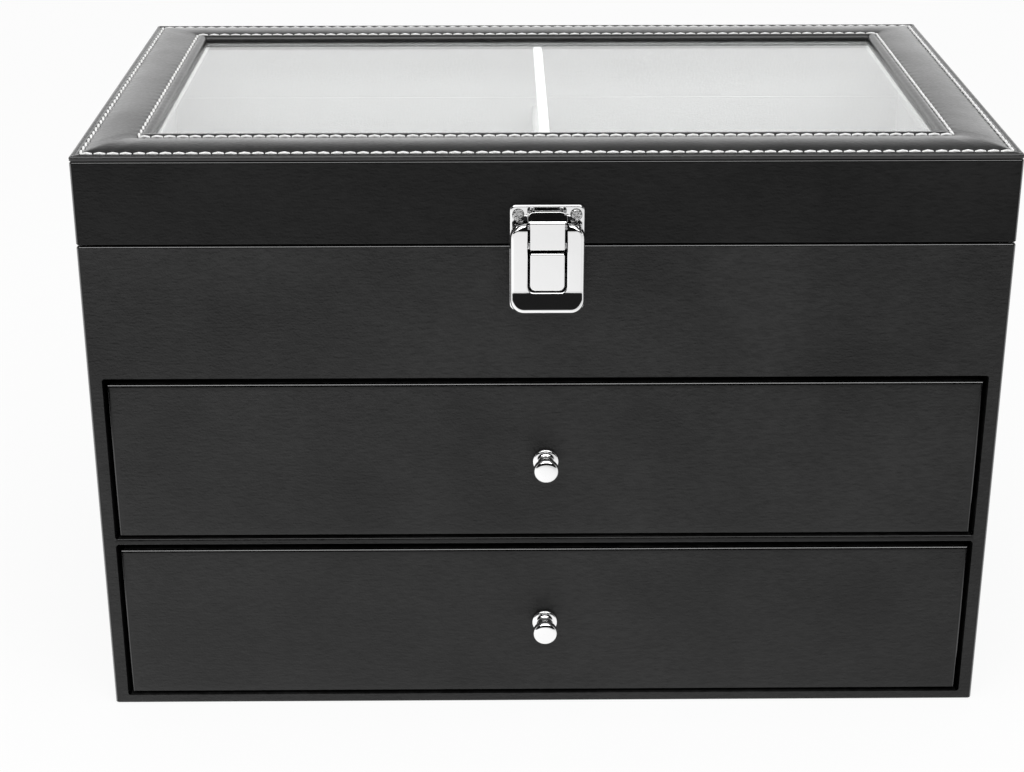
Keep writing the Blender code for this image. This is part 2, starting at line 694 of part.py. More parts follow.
def build_keeper(lid, lid_front):
    half = LATCH_WIDTH / 2
    outline = rounded_outline(-half, half, KEEPER_LOW, KEEPER_HIGH, LATCH_EDGE, LATCH_CORNER)
    keeper = add("latch_keeper", front_sheet(outline, FIT, LATCH_SHEET), CHROME, lid)
    lip_back, lip_front = CATCH_LIP_OUT, CATCH_LIP_OUT + LATCH_THIN
    root = FIT + LATCH_SHEET / 2
    catch = [
        (root, CATCH_SHELF_RISE),
        (lip_front, CATCH_SHELF_RISE),
        (lip_front, CATCH_LIP_RISE),
        (lip_back, CATCH_LIP_RISE),
        (lip_back, CATCH_SHELF_RISE + LATCH_THIN),
        (root, CATCH_SHELF_RISE + LATCH_THIN),
    ]
    join(keeper, side_sheet(catch, -CATCH_WIDTH / 2, CATCH_WIDTH / 2))
    latch_screws(keeper, lid_front, "latch_keeper_screw", KEEPER_SCREW_SPACING, KEEPER_SCREW_RISE, lid)


def build_latch_base(case, apron):
    """The plate on the case, with a raised island in its middle and two ears for the lever's pin."""
    half = LATCH_WIDTH / 2
    outline = rounded_outline(-half, half, -BASE_PLATE_LOW, -BASE_PLATE_HIGH, LATCH_CORNER, LATCH_EDGE)
    base = add("latch_base", front_sheet(outline, FIT, LATCH_SHEET), CHROME, case)
    root = FIT + LATCH_SHEET / 2
    half = ISLAND_WIDTH / 2
    island = rounded_outline(-half, half, -ISLAND_LOW, -ISLAND_HIGH, ISLAND_CORNER, LATCH_EDGE)
    join(base, front_sheet(island, root, ISLAND_OUT - root))
    clear = FIT + LATCH_SHEET + FIT  # in front of the keeper, where an ear passes the seam
    neck_foot = -BASE_PLATE_HIGH - LATCH_THIN
    ear = [
        (root, -EAR_LOW),
        (EAR_OUT, EAR_OUT - EAR_LOW),
        (EAR_OUT, EAR_FLARE_RISE),
        *arc((LEVER_PIN_OUT, LEVER_PIN_RISE), EAR_RADIUS, -40, 180, 2 * CORNER_STEPS),
        (clear, EAR_NECK_RISE),
        (clear, neck_foot),
        (root, neck_foot),
    ]
    for side in (-1, 1):
        join(base, side_sheet(ear, *sorted((side * EAR_INSIDE, side * (EAR_INSIDE + EAR)))))
    end = LEVER_WIDTH / 2 - PIN_END
    bore = end + OVERRUN
    cut(base, rod((-bore, *LEVER_AXIS.yz), (bore, *LEVER_AXIS.yz), LATCH_PIN_RADIUS + PIN_PLAY))
    add("lever_pin", rod((-end, *LEVER_AXIS.yz), (end, *LEVER_AXIS.yz), LATCH_PIN_RADIUS), STEEL, case)
    latch_screws(base, apron, "latch_base_screw", BASE_SCREW_SPACING, -BASE_SCREW_FALL, case)


def build_lever(pivot):
    """The lever: a plate with a window and a finger lip, and a flange at each side that carries both pins."""
    back, front = LEVER_OUT, LEVER_OUT + LATCH_SHEET
    tail_top = LEVER_TAIL - LEVER_LOW
    bends = [(out * LEVER_TAIL_OUT, tail_top - down * LEVER_TAIL) for down, out in LEVER_TAIL_SHARES]
    profile = [
        (front, LEVER_HIGH + OVERRUN),
        (back, LEVER_HIGH + OVERRUN),
        (back, tail_top),
        *[(back + out, rise) for out, rise in bends],
        (back + LEVER_TAIL_OUT, -LEVER_LOW),
        (back + LEVER_TAIL_OUT, -LEVER_LOW - OVERRUN),
        (front + LEVER_TAIL_OUT, -LEVER_LOW - OVERRUN),
        (front + LEVER_TAIL_OUT, -LEVER_LOW),
        *[(front + out, rise) for out, rise in reversed(bends)],
        (front, tail_top),
    ]
    half = LEVER_WIDTH / 2
    lever = add("latch_lever", side_sheet(profile, -half - OVERRUN, half + OVERRUN), CHROME, pivot)
    across = WINDOW_WIDTH / 2
    shoulder = LEVER_SHOULDER
    outline = [
        *arc((-half + LATCH_CORNER, -LEVER_LOW + LATCH_CORNER), LATCH_CORNER, 180, 270),
        *arc((half - LATCH_CORNER, -LEVER_LOW + LATCH_CORNER), LATCH_CORNER, 270, 360),
        *arc((half - shoulder, LEVER_HIGH - shoulder), shoulder, 0, 90),
        (across, LEVER_HIGH),
        *arc((across - WINDOW_CORNER, -WINDOW_LOW + WINDOW_CORNER), WINDOW_CORNER, 360, 270),
        *arc((-across + WINDOW_CORNER, -WINDOW_LOW + WINDOW_CORNER), WINDOW_CORNER, 270, 180),
        (-across, LEVER_HIGH),
        *arc((-half + shoulder, LEVER_HIGH - shoulder), shoulder, 90, 180),
    ]
    deep = LATCH_SHEET + LEVER_TAIL_OUT + 2 * OVERRUN
    combine(lever, front_sheet(outline, back - OVERRUN, deep), "INTERSECT")
    within = back + LATCH_SHEET / 2
    pin = (LEVER_PIN_OUT, LEVER_PIN_RISE)
    meets = 180 + math.degrees(math.acos((LEVER_PIN_OUT - FLANGE_OUT) / FLANGE_RADIUS))
    flange = [
        (within, LEVER_PIN_RISE),
        *arc(pin, FLANGE_RADIUS, 30, meets, 2 * CORNER_STEPS),
        (FLANGE_OUT, FLANGE_OUT - FLANGE_LOW),
        (within, -FLANGE_LOW),
    ]
    outer = half - PIN_PLAY
    for side in (-1, 1):
        join(lever, side_sheet(flange, *sorted((side * (outer - FLANGE), side * outer))))
    end = outer - PIN_END
    bore = outer + OVERRUN
    for axis in (LEVER_AXIS, HOOK_AXIS):
        cut(lever, rod((-bore, *axis.yz), (bore, *axis.yz), LATCH_PIN_RADIUS + PIN_PLAY))
    add("hook_pin", rod((-end, *HOOK_AXIS.yz), (end, *HOOK_AXIS.yz), LATCH_PIN_RADIUS), STEEL, pivot)


def build_hook(pivot):
    """The hook: a plate that turns on the hook pin, whose top curls back over the keeper's catch."""
    back, front = HOOK_OUT, HOOK_OUT + LATCH_THIN
    curl = (front - HOOK_CURL, HOOK_TOP - HOOK_CURL)
    tooth = front - 2 * HOOK_CURL
    profile = [
        (back, HOOK_FOOT_RISE - OVERRUN),
        (front, HOOK_FOOT_RISE - OVERRUN),
        *arc(curl, HOOK_CURL, 0, 180, 2 * CORNER_STEPS),
        (tooth, HOOK_TOOTH_LOW),
        (tooth + LATCH_THIN, HOOK_TOOTH_LOW),
        *arc(curl, HOOK_CURL - LATCH_THIN, 180, 0, 2 * CORNER_STEPS),
    ]
    half, head = HOOK_WIDTH / 2, HOOK_HEAD_WIDTH / 2
    hook = add("latch_hook", side_sheet(profile, -head - OVERRUN, head + OVERRUN), CHROME, pivot)
    corner = (head - HOOK_HEAD_CORNER, HOOK_TOP - HOOK_HEAD_CORNER)
    outline = [
        (-half, HOOK_FOOT_RISE),
        (half, HOOK_FOOT_RISE),
        (half, HOOK_TOOTH_LOW + half - head),
        (head, HOOK_TOOTH_LOW),
        *arc(corner, HOOK_HEAD_CORNER, 0, 90),
        *arc((-corner[0], corner[1]), HOOK_HEAD_CORNER, 90, 180),
        (-head, HOOK_TOOTH_LOW),
        (-half, HOOK_TOOTH_LOW + half - head),
    ]
    deep = 2 * HOOK_CURL + 2 * OVERRUN
    combine(hook, front_sheet(outline, tooth - OVERRUN, deep), "INTERSECT")
    inner = half - HOOK_SIDE_STEP
    web = inner - HOOK_SIDE_STEP
    rise = HOOK_BARREL_RADIUS / 2
    plate_y = -HALF_DEPTH - back - LATCH_THIN / 2
    join(hook, box((-web, plate_y, HOOK_AXIS.z - rise), (web, HOOK_AXIS.y, HOOK_AXIS.z + rise)))
    join(hook, rod((-inner, *HOOK_AXIS.yz), (inner, *HOOK_AXIS.yz), HOOK_BARREL_RADIUS))
    bore = half + OVERRUN
    cut(hook, rod((-bore, *HOOK_AXIS.yz), (bore, *HOOK_AXIS.yz), LATCH_PIN_RADIUS + PIN_PLAY))


clear_scene()
PARTS = make_collection("eyewear_storage_box")
TOOLS = make_collection("tools")
LEATHER = make_material("black_leather", (0.022, 0.022, 0.022), 0.45)
VELVET = make_material("pale_velvet", (0.7, 0.7, 0.7), 0.9)
CHROME = make_material("chrome", (0.85, 0.85, 0.85), 0.08, metallic=1.0)
STEEL = make_material("steel", (0.6, 0.6, 0.6), 0.3, metallic=1.0)
GLASS_FINISH = make_material("window_glass", (0.9, 0.93, 0.93), 0.02, alpha=0.3)
SCREW_DATA = make_screw_data()
KNOB_DATA = make_knob_data()
KNOB_SCREW_DATA = make_knob_screw_data()

case_pivot = make_pivot("case", (0, 0, 0))
lid_pivot = make_pivot("lid", HINGE_AXIS)
lever_pivot = make_pivot("lever", LEVER_AXIS)
hook_pivot = make_pivot("hook", HOOK_AXIS)
lower_pivot = make_pivot("lower_drawer", (0, -HALF_DEPTH, LOWER_BAY))
upper_pivot = make_pivot("upper_drawer", (0, -HALF_DEPTH, UPPER_BAY))

apron_board, back_board = build_case(case_pivot)
build_tray(case_pivot)
build_drawer("lower_drawer", LOWER_BAY, lower_pivot)
build_drawer("upper_drawer", UPPER_BAY, upper_pivot)
lid_front_board, lid_back_board = build_lid_walls(lid_pivot)
build_lid_frame(lid_pivot)
build_window(lid_pivot)
build_hinges(case_pivot, lid_pivot, back_board, lid_back_board)
build_keeper(lid_pivot, lid_front_board)
build_latch_base(case_pivot, apron_board)
build_lever(lever_pivot)
build_hook(hook_pivot)
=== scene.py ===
import json
import math
import random

import bmesh
import bpy
from mathutils import Matrix, Vector, noise


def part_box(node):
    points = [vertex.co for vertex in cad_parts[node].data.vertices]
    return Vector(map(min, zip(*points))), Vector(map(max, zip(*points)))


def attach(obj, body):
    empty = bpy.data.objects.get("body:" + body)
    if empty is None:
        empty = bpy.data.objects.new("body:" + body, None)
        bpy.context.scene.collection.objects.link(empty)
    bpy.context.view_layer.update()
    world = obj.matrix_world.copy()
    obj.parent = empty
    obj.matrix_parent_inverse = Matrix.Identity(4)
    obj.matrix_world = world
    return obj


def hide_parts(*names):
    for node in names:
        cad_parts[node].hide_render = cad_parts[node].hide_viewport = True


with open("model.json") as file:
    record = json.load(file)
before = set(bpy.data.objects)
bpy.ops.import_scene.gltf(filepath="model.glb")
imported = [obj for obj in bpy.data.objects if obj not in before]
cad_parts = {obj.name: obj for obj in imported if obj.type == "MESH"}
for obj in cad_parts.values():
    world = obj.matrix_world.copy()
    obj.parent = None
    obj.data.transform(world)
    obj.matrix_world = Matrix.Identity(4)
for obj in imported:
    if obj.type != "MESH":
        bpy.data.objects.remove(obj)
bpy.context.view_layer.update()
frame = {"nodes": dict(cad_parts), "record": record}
print("frame loaded")

# Pieces are modelled in millimetres and scaled to metres as they are finished.
toMetres = 0.001
caseFront = -96.5  # y of the front of the case; the latch is measured out from here
hair = 0.01  # how near counts as touching
random.seed(7)


# small helpers

def hexColour(text):
    channels = [int(text[i:i + 2], 16) / 255 for i in (1, 3, 5)]
    linear = [c / 12.92 if c <= 0.04045 else ((c + 0.055) / 1.055) ** 2.4 for c in channels]
    return (*linear, 1.0)


def addNode(tree, kind, settings=None, links=None):
    node = tree.nodes.new(kind)
    for key, value in (settings or {}).items():
        if hasattr(node, key):
            setattr(node, key, value)
        else:
            node.inputs[key].default_value = value
    for key, (source, output) in (links or {}).items():
        tree.links.new(source.outputs[output], node.inputs[key])
    return node


def addMath(tree, operation, *values):
    # each value is a number, or a node and the name of its output
    node = addNode(tree, "ShaderNodeMath", {"operation": operation})
    for place, value in enumerate(values):
        if isinstance(value, tuple):
            tree.links.new(value[0].outputs[value[1]], node.inputs[place])
        else:
            node.inputs[place].default_value = value
    return node


def mixColours(tree, factor, first, second):
    mixed = addNode(tree, "ShaderNodeMix", {"data_type": "RGBA"}, {"Factor": factor})
    mixed.inputs[6].default_value = hexColour(first)
    mixed.inputs[7].default_value = hexColour(second)
    return mixed


def addNoise(tree, coords, scale, detail):
    settings = {"Scale": scale, "Detail": detail}
    return addNode(tree, "ShaderNodeTexNoise", settings, {"Vector": (coords, "Object")})


def mapRange(tree, source, output, to=(0.0, 1.0), start=(0.0, 1.0)):
    ends = {"From Min": start[0], "From Max": start[1], "To Min": to[0], "To Max": to[1]}
    return addNode(tree, "ShaderNodeMapRange", ends, {"Value": (source, output)})


def setColour(tree, shader, source, look):
    mixed = mixColours(tree, (source, "Fac"), look["shade"], look["colour"])
    tree.links.new(mixed.outputs[2], shader.inputs["Base Color"])


def setBump(tree, shader, source, strength, distance):
    # strength has no unit, and distance is in metres
    settings = {"Strength": strength, "Distance": distance}
    bump = addNode(tree, "ShaderNodeBump", settings, {"Height": (source, "Fac")})
    tree.links.new(bump.outputs["Normal"], shader.inputs["Normal"])


def newMaterial(name, settings):
    material = bpy.data.materials.new(name)
    material.use_nodes = True
    shader = material.node_tree.nodes["Principled BSDF"]
    for key, value in settings.items():
        shader.inputs[key].default_value = value
    return material, material.node_tree, shader


def ramp(value):
    return min(1, max(0, value))


def inMillimetres(box):
    return [corner / toMetres for corner in box]


def dressNode(name, material):
    node = frame["nodes"][name]
    node.data.materials.clear()
    node.data.materials.append(material)


def startBox(low, high):
    bm = bmesh.new()
    bmesh.ops.create_cube(bm, size=1)
    bmesh.ops.scale(bm, vec=[b - a for a, b in zip(low, high)], verts=bm.verts)
    bmesh.ops.translate(bm, vec=[(a + b) / 2 for a, b in zip(low, high)], verts=bm.verts)
    return bm


def addTo(bm, part):
    mesh = bpy.data.meshes.new("part")
    part.to_mesh(mesh)
    part.free()
    bm.from_mesh(mesh)
    bpy.data.meshes.remove(mesh)


def turnProfile(points, axis, steps):
    bm = bmesh.new()
    verts = [bm.verts.new(point) for point in points]
    edges = [bm.edges.new(pair) for pair in zip(verts, verts[1:])]
    bmesh.ops.spin(bm, geom=verts + edges, cent=(0, 0, 0), axis=axis, angle=2 * math.pi, steps=steps,
                   use_merge=True, use_duplicate=False)
    bmesh.ops.remove_doubles(bm, verts=bm.verts, dist=0.001)
    return bm


def middleOf(face):
    return face.calc_center_median()


def facing(bm, direction):
    direction = Vector(direction)
    bm.normal_update()
    found = [face for face in bm.faces if face.normal.dot(direction) > 0.9]
    return max(found, key=lambda face: middleOf(face).dot(direction))


def roundEdges(bm, edges, radius, segments=3, clamp=True):
    bmesh.ops.bevel(bm, geom=list(edges), offset=radius, offset_type="OFFSET", segments=segments,
                    profile=0.5, affect="EDGES", material=-1, clamp_overlap=clamp)


def outwardEdges(bm, test=None, angle=40):
    bm.normal_update()
    found = []
    for edge in bm.edges:
        if len(edge.link_faces) == 2 and edge.calc_face_angle_signed(0) > math.radians(angle):
            if test is None or test(edge):
                found.append(edge)
    return found


def within(edge, test):
    return all(test(vert.co) for vert in edge.verts)


def edgesWhere(bm, test, angle=40):
    return outwardEdges(bm, lambda edge: within(edge, test), angle)


def runsAlong(edge, axis):
    way = edge.verts[1].co - edge.verts[0].co
    return abs(way[axis]) > 0.99 * way.length


def splitFace(bm, faces, axis, places):
    normal = Vector([1.0 if i == axis else 0.0 for i in range(3)])
    for place in places:
        geom = set(faces)
        for face in faces:
            geom.update(face.edges)
            geom.update(face.verts)
        cut = bmesh.ops.bisect_plane(bm, geom=list(geom), plane_co=normal * place, plane_no=normal, dist=0.0001)
        faces = [item for item in cut["geom"] if isinstance(item, bmesh.types.BMFace)]
    return faces


def cutLevels(bm, levels):
    for level in levels:
        bmesh.ops.bisect_plane(bm, geom=bm.verts[:] + bm.edges[:] + bm.faces[:], plane_co=(0, 0, level),
                               plane_no=(0, 0, 1), dist=0.0001)


def insetFace(bm, face, thickness, depth=0.0):
    bmesh.ops.inset_region(bm, faces=[face], thickness=thickness, depth=depth, use_even_offset=True)


def pushFace(bm, face, way):
    # what is left of the face at its old place goes
    made = bmesh.ops.extrude_discrete_faces(bm, faces=[face])["faces"][0]
    bmesh.ops.translate(bm, vec=way, verts=made.verts)
    if face.is_valid:
        bmesh.ops.delete(bm, geom=[face], context="FACES_ONLY")


def bridgeHoles(bm, faces):
    bmesh.ops.delete(bm, geom=list(faces), context="FACES_ONLY")
    bmesh.ops.bridge_loops(bm, edges=[edge for edge in bm.edges if edge.is_boundary])


def markTurned(bm):
    # how far a face leans out of the flat, where the skin is drawn tight over an edge; undersides stay plain. The
    # leatherette darkens these faces as painted shade.
    bm.normal_update()
    turned = bm.faces.layers.float.new("turned")
    for face in bm.faces:
        lean = 1 - max(abs(part) for part in face.normal)
        face[turned] = min(1, lean / 0.2) if lean > 0.003 and face.normal.z > -0.1 else 0.0


def finishPiece(bm, name, material, body, replaces=(), smooth=True, paintedShadeMaterial=None):
    bmesh.ops.recalc_face_normals(bm, faces=bm.faces)
    bmesh.ops.scale(bm, vec=(toMetres, toMetres, toMetres), verts=bm.verts)
    mesh = bpy.data.meshes.new(name)
    bm.to_mesh(mesh)
    bm.free()
    piece = bpy.data.objects.new(name, mesh)
    bpy.context.scene.collection.objects.link(piece)
    mesh.materials.append(material)
    # a second material: the dark steel of painted shade
    if paintedShadeMaterial:
        mesh.materials.append(paintedShadeMaterial)
    if smooth:
        mesh.shade_smooth()
        mesh.set_sharp_from_angle(angle=math.radians(42))
        tidy = piece.modifiers.new("even shading", "WEIGHTED_NORMAL")
        tidy.keep_sharp = True
    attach(piece, body)
    if replaces:
        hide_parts(*replaces)
    return piece


# materials

# Polyurethane leatherette: an almost black skin, calendered with a fine grain that runs level, so it mirrors
# the floor softly and breaks the gloss into short streaks. Over an edge it is tight, and draws a bright line; its
# colour there is darkened, which is painted shade.
leatherLook = dict(colour="#050505", wearAndShade="#242424", paintedEdgeShade="#040404", roughness=0.46, spread=0.07, turned=0.15,
                   ior=1.4, streakLong=3.4, streakHigh=0.9, pebble=0.8, patch=38, mottle=(0.12, 0.42),
                   paintedEdgeShadeFrom=0.08, depth=0.00017, relief=(0.7, 0.1), ribShare=1.6,
                   coat=(0.0, 1.0), coatFrom=(0.3, 0.8), coatRoughness=0.1, coatIor=1.9)


def makeLeatherette(name, look):
    settings = {"Roughness": look["roughness"], "IOR": look["ior"], "Coat Roughness": look["coatRoughness"],
                "Coat IOR": look["coatIor"]}
    material, tree, shader = newMaterial(name, settings)
    coords = addNode(tree, "ShaderNodeTexCoord")
    patches = addNoise(tree, coords, 1000 / look["patch"], 4.0)
    level = [1000 / look[key] for key in ("streakLong", "streakLong", "streakHigh")]
    stretched = addNode(tree, "ShaderNodeMapping", {"Scale": level}, {"Vector": (coords, "Object")})
    streaks = addNode(tree, "ShaderNodeTexNoise", {"Scale": 1.0, "Detail": 3.0, "Roughness": 0.55},
                      {"Vector": (stretched, "Vector")})
    pebble = addNode(tree, "ShaderNodeTexVoronoi", {"Scale": 1000 / look["pebble"], "feature": "SMOOTH_F1"},
                     {"Vector": (coords, "Object")})
    # the streaks carry most of the colour, with slow patches where the skin has been handled
    blend = addMath(tree, "MULTIPLY", (streaks, "Fac"), (patches, "Fac"))
    spread = mapRange(tree, blend, "Value", start=look["mottle"])
    mixed = mixColours(tree, (spread, "Result"), look["colour"], look["wearAndShade"])
    turned = addNode(tree, "ShaderNodeAttribute", {"attribute_name": "turned"})
    # faces over an edge get a darker colour: painted shade, standing in for the dark reflection beside the edge's
    # highlight
    paintedEdgeShade = mapRange(tree, turned, "Fac", start=(0.0, look["paintedEdgeShadeFrom"]))
    darker = mixColours(tree, (paintedEdgeShade, "Result"), look["colour"], look["paintedEdgeShade"])
    tree.links.new(mixed.outputs[2], darker.inputs[6])
    tree.links.new(darker.outputs[2], shader.inputs["Base Color"])
    shine = mapRange(tree, turned, "Fac", look["coat"], look["coatFrom"])
    tree.links.new(shine.outputs["Result"], shader.inputs["Coat Weight"])
    least, most = look["roughness"] - look["spread"], look["roughness"] + look["spread"]
    gloss = mapRange(tree, spread, "Result", (least, most))
    either = addNode(tree, "ShaderNodeMix", {"data_type": "FLOAT"},
                     {"Factor": (paintedEdgeShade, "Result"), 2: (gloss, "Result")})
    either.inputs[3].default_value = look["turned"]
    tree.links.new(either.outputs[0], shader.inputs["Roughness"])
    total = addMath(tree, "MULTIPLY_ADD", (streaks, "Fac"), look["ribShare"], (pebble, "Distance"))
    stretch = mapRange(tree, paintedEdgeShade, "Result", look["relief"])
    bump = addNode(tree, "ShaderNodeBump", {"Distance": look["depth"]},
                   {"Height": (total, "Value"), "Strength": (stretch, "Result")})
    tree.links.new(bump.outputs["Normal"], shader.inputs["Normal"])
    return material


leatherette = makeLeatherette("blackLeatherette", leatherLook)
# the lid's skin is a duller, darker copy of the leatherette: partly the lid's own tone, partly painted shade, as
# the lid stands higher above the bright floor
shadedLidLeather = makeLeatherette("shadedLidLeatherette", dict(leatherLook, wearAndShade="#181818", ior=1.29))
# the padded frame's skin is finer and carries a thin lacquer all over
padLook = dict(leatherLook, roughness=0.38, ior=1.5, streakLong=1.3, streakHigh=1.3, depth=0.00007,
               coat=(0.5, 0.5), coatRoughness=0.3, coatIor=1.5)
padLeather = makeLeatherette("paddedLeatherette", padLook)

# Flock velvet: short upright pile that scatters light, paler where it is seen from the side.
velvetLook = dict(colour="#b6b6b6", shade="#acacac", pile=0.9, patch=22, relief=(0.5, 0.0002))


def makeVelvet(name, look):
    settings = {"Roughness": 0.95, "Sheen Weight": 0.35, "Sheen Roughness": 0.5}
    material, tree, shader = newMaterial(name, settings)
    coords = addNode(tree, "ShaderNodeTexCoord")
    patches = addNoise(tree, coords, 1000 / look["patch"], 3.0)
    setColour(tree, shader, patches, look)
    setBump(tree, shader, addNoise(tree, coords, 1000 / look["pile"], 6.0), *look["relief"])
    return material


velvet = makeVelvet("greyVelvet", velvetLook)
# a lighter copy of the grey velvet for the strip under the glass: painted light, lifting it out of the shade under
# the glass
paintedLitVelvet = makeVelvet("paintedLitVelvet", dict(velvetLook, colour="#fcfcfc", shade="#f6f6f6"))


def makeMetal(name, look):
    # marks and dents are noises: features to the metre, and detail
    settings = {"Metallic": 1.0, "Roughness": look["roughness"], "Base Color": hexColour(look["colour"])}
    material, tree, shader = newMaterial(name, settings)
    coords = addNode(tree, "ShaderNodeTexCoord")
    gloss = mapRange(tree, addNoise(tree, coords, *look["marks"]), "Fac", look["gloss"])
    tree.links.new(gloss.outputs["Result"], shader.inputs["Roughness"])
    if "dents" in look:
        setBump(tree, shader, addNoise(tree, coords, *look["dents"]), *look["relief"])
    return material


# Chrome plate over pressed steel: a mirror with a little ripple from the press and faint wiping marks.
chromeLook = dict(colour="#f2f2f2", roughness=0.07, gloss=(0.04, 0.1), marks=(1000 / 1.2, 4.0),
                  dents=(200.0, 1.0), relief=(0.25, 0.0001))
chrome = makeMetal("chromePlate", chromeLook)

# Zinc-plated steel of the pins and hidden screws: duller than the chrome.
steelLook = dict(colour="#b9b9ba", roughness=0.3, gloss=(0.24, 0.4), marks=(900.0, 3.0))
steel = makeMetal("zincPlatedSteel", steelLook)

# Nickel-plated screw heads: scuffed by the driver, so they show as mottled grey beside the chrome.
screwLook = dict(colour="#c4c4c4", roughness=0.18, gloss=(0.12, 0.3), marks=(1100.0, 2.0), dents=(1100.0, 2.0),
                 relief=(1.0, 0.0004))
screwSteel = makeMetal("nickelPlatedScrew", screwLook)

# A dark, matt steel laid where the latch's narrow gaps should look black: painted shade.
paintedShadeLook = dict(colour="#1c1c1d", roughness=0.55, gloss=(0.45, 0.65), marks=(600.0, 3.0))
paintedShadeSteel = makeMetal("shadePaintedSteel", paintedShadeLook)

# Clear float glass: a mirror at the low angle that it is seen from, with a slow wave in its surface.
glassLook = dict(colour="#fbfdfc", ior=1.5, wave=12.0, relief=(0.03, 0.0003))
glass, tree, shader = newMaterial("floatGlass", {"Base Color": hexColour(glassLook["colour"]), "Roughness": 0.0,
                                                 "IOR": glassLook["ior"], "Transmission Weight": 1.0})
wave = addNoise(tree, addNode(tree, "ShaderNodeTexCoord"), glassLook["wave"], 0.0)
setBump(tree, shader, wave, *glassLook["relief"])

# Spun polyester sewing thread: white, matt, laid up with a twist that shows as slanted ribs.
threadLook = dict(colour="#ffffff", shade="#f0f0ee", twist=0.9, relief=(0.4, 0.0001))
thread, tree, shader = newMaterial("polyesterThread", {"Roughness": 0.7, "Sheen Weight": 0.2})
coords = addNode(tree, "ShaderNodeTexCoord")
ribSettings = {"bands_direction": "DIAGONAL", "Scale": 314 / threadLook["twist"] / 2, "Distortion": 1.0}
ribs = addNode(tree, "ShaderNodeTexWave", ribSettings, {"Vector": (coords, "Object")})
setColour(tree, shader, ribs, threadLook)
setBump(tree, shader, ribs, *threadLook["relief"])

# Black craft paper on the drawer boards: flat, with a soft fibre.
paperLook = dict(colour="#2a2a2a", shade="#1a1a1a", fibre=700.0, relief=(0.3, 0.0001))
paper, tree, shader = newMaterial("blackPaper", {"Roughness": 0.75})
fibre = addNoise(tree, addNode(tree, "ShaderNodeTexCoord"), paperLook["fibre"], 5.0)
setColour(tree, shader, fibre, paperLook)
setBump(tree, shader, fibre, *paperLook["relief"])
print("materials made")


# case: one skin of leatherette over the boards, with two bays and the tray's well

caseShape = dict(halfWidth=167.5, halfDepth=96.5, top=189.75, foot=0.8, wall=5.2, trayTop=141.4, inside=91.0,
                 bays=((3.6, 69.8), (72.2, 138.4)), upright=1.3, rim=1.5, mouth=0.55, rail=0.45, bayCorner=1.0,
                 railLean=0.08, railCuts=(0.2, 0.4, 0.6, 0.8), railTurned=0.1)
caseBoards = ("bottom_panel", "left_side", "right_side", "back_panel", "front_apron", "tray_floor",
              "drawer_shelf")


def makeCase(shape):
    x, y, top = shape["halfWidth"], shape["halfDepth"], shape["top"]
    inner = x - shape["wall"]
    bm = startBox((-x, -y, 0), (x, y, top))
    lidFace = facing(bm, (0, 0, 1))
    insetFace(bm, lidFace, shape["wall"])
    pushFace(bm, lidFace, (0, 0, shape["trayTop"] - top))
    strips = splitFace(bm, [facing(bm, (0, -1, 0))], 0, (-inner, inner))
    middle = [face for face in strips if abs(middleOf(face).x) < 1]
    rows = splitFace(bm, middle, 2, [height for bay in shape["bays"] for height in bay])
    for low, high in shape["bays"]:
        mouth = min(rows, key=lambda face: abs(middleOf(face).z - (low + high) / 2))
        rows.remove(mouth)
        pushFace(bm, mouth, (0, shape["inside"] + y, 0))
    (bayLow, railLow), (railHigh, bayHigh) = shape["bays"]
    inBay = lambda co: abs(co.x) < inner + hair and bayLow - hair < co.z < bayHigh + hair
    bm.normal_update()
    bayEdges = [edge for edge in bm.edges if runsAlong(edge, 1) and within(edge, inBay)]
    roundEdges(bm, bayEdges, shape["bayCorner"], 3)
    isUpright = lambda edge: runsAlong(edge, 2) and within(edge, lambda co: abs(co.x) > x - 0.1)
    roundEdges(bm, outwardEdges(bm, isUpright), shape["upright"], 4)
    bm.normal_update()
    atRail = lambda co: railLow - 0.1 < co.z < railHigh + 0.1
    onFront = lambda co: (abs(co.y + y) < 0.6 and abs(co.x) < inner + 0.05
                          and bayLow - 0.6 < co.z < bayHigh + 0.6)
    # the rail's skin leans back towards its top
    railFace = [face for face in bm.faces if face.normal.y < -0.9 and abs(middleOf(face).x) < 1
                and railLow < middleOf(face).z < railHigh]
    splitFace(bm, railFace, 2, [railLow + (railHigh - railLow) * share for share in shape["railCuts"]])
    for vert in bm.verts:
        if abs(vert.co.y + y) < hair and abs(vert.co.x) < inner + 0.05 and atRail(vert.co):
            vert.co.y += shape["railLean"] * (vert.co.z - railLow) ** 2
    isRail = lambda edge: runsAlong(edge, 0) and within(edge, onFront) and within(edge, atRail)
    roundEdges(bm, outwardEdges(bm, isRail, 20), shape["rail"], 3)
    roundEdges(bm, edgesWhere(bm, onFront, 60), shape["mouth"], 3)
    roundEdges(bm, edgesWhere(bm, lambda co: co.z > top - hair), shape["rim"], 5)
    roundEdges(bm, edgesWhere(bm, lambda co: co.z < hair), shape["foot"], 3)
    markTurned(bm)
    # the rail leans as a whole and isn't an edge, so its shine is kept low; it still takes the painted edge shade
    turned = bm.faces.layers.float["turned"]
    for face in bm.faces:
        middle = middleOf(face)
        if middle.y < 0.8 - y and abs(middle.x) < inner and railLow < middle.z < railHigh:
            face[turned] = min(face[turned], shape["railTurned"])
    finishPiece(bm, "caseSkin", leatherette, "case", caseBoards)


makeCase(caseShape)
print("case made")


# lid: the skin of its walls

lidShape = dict(halfWidth=167.5, halfDepth=96.5, low=190.25, top=221.2, wall=5.2, upright=1.3, rim=1.6,
                foot=0.8)


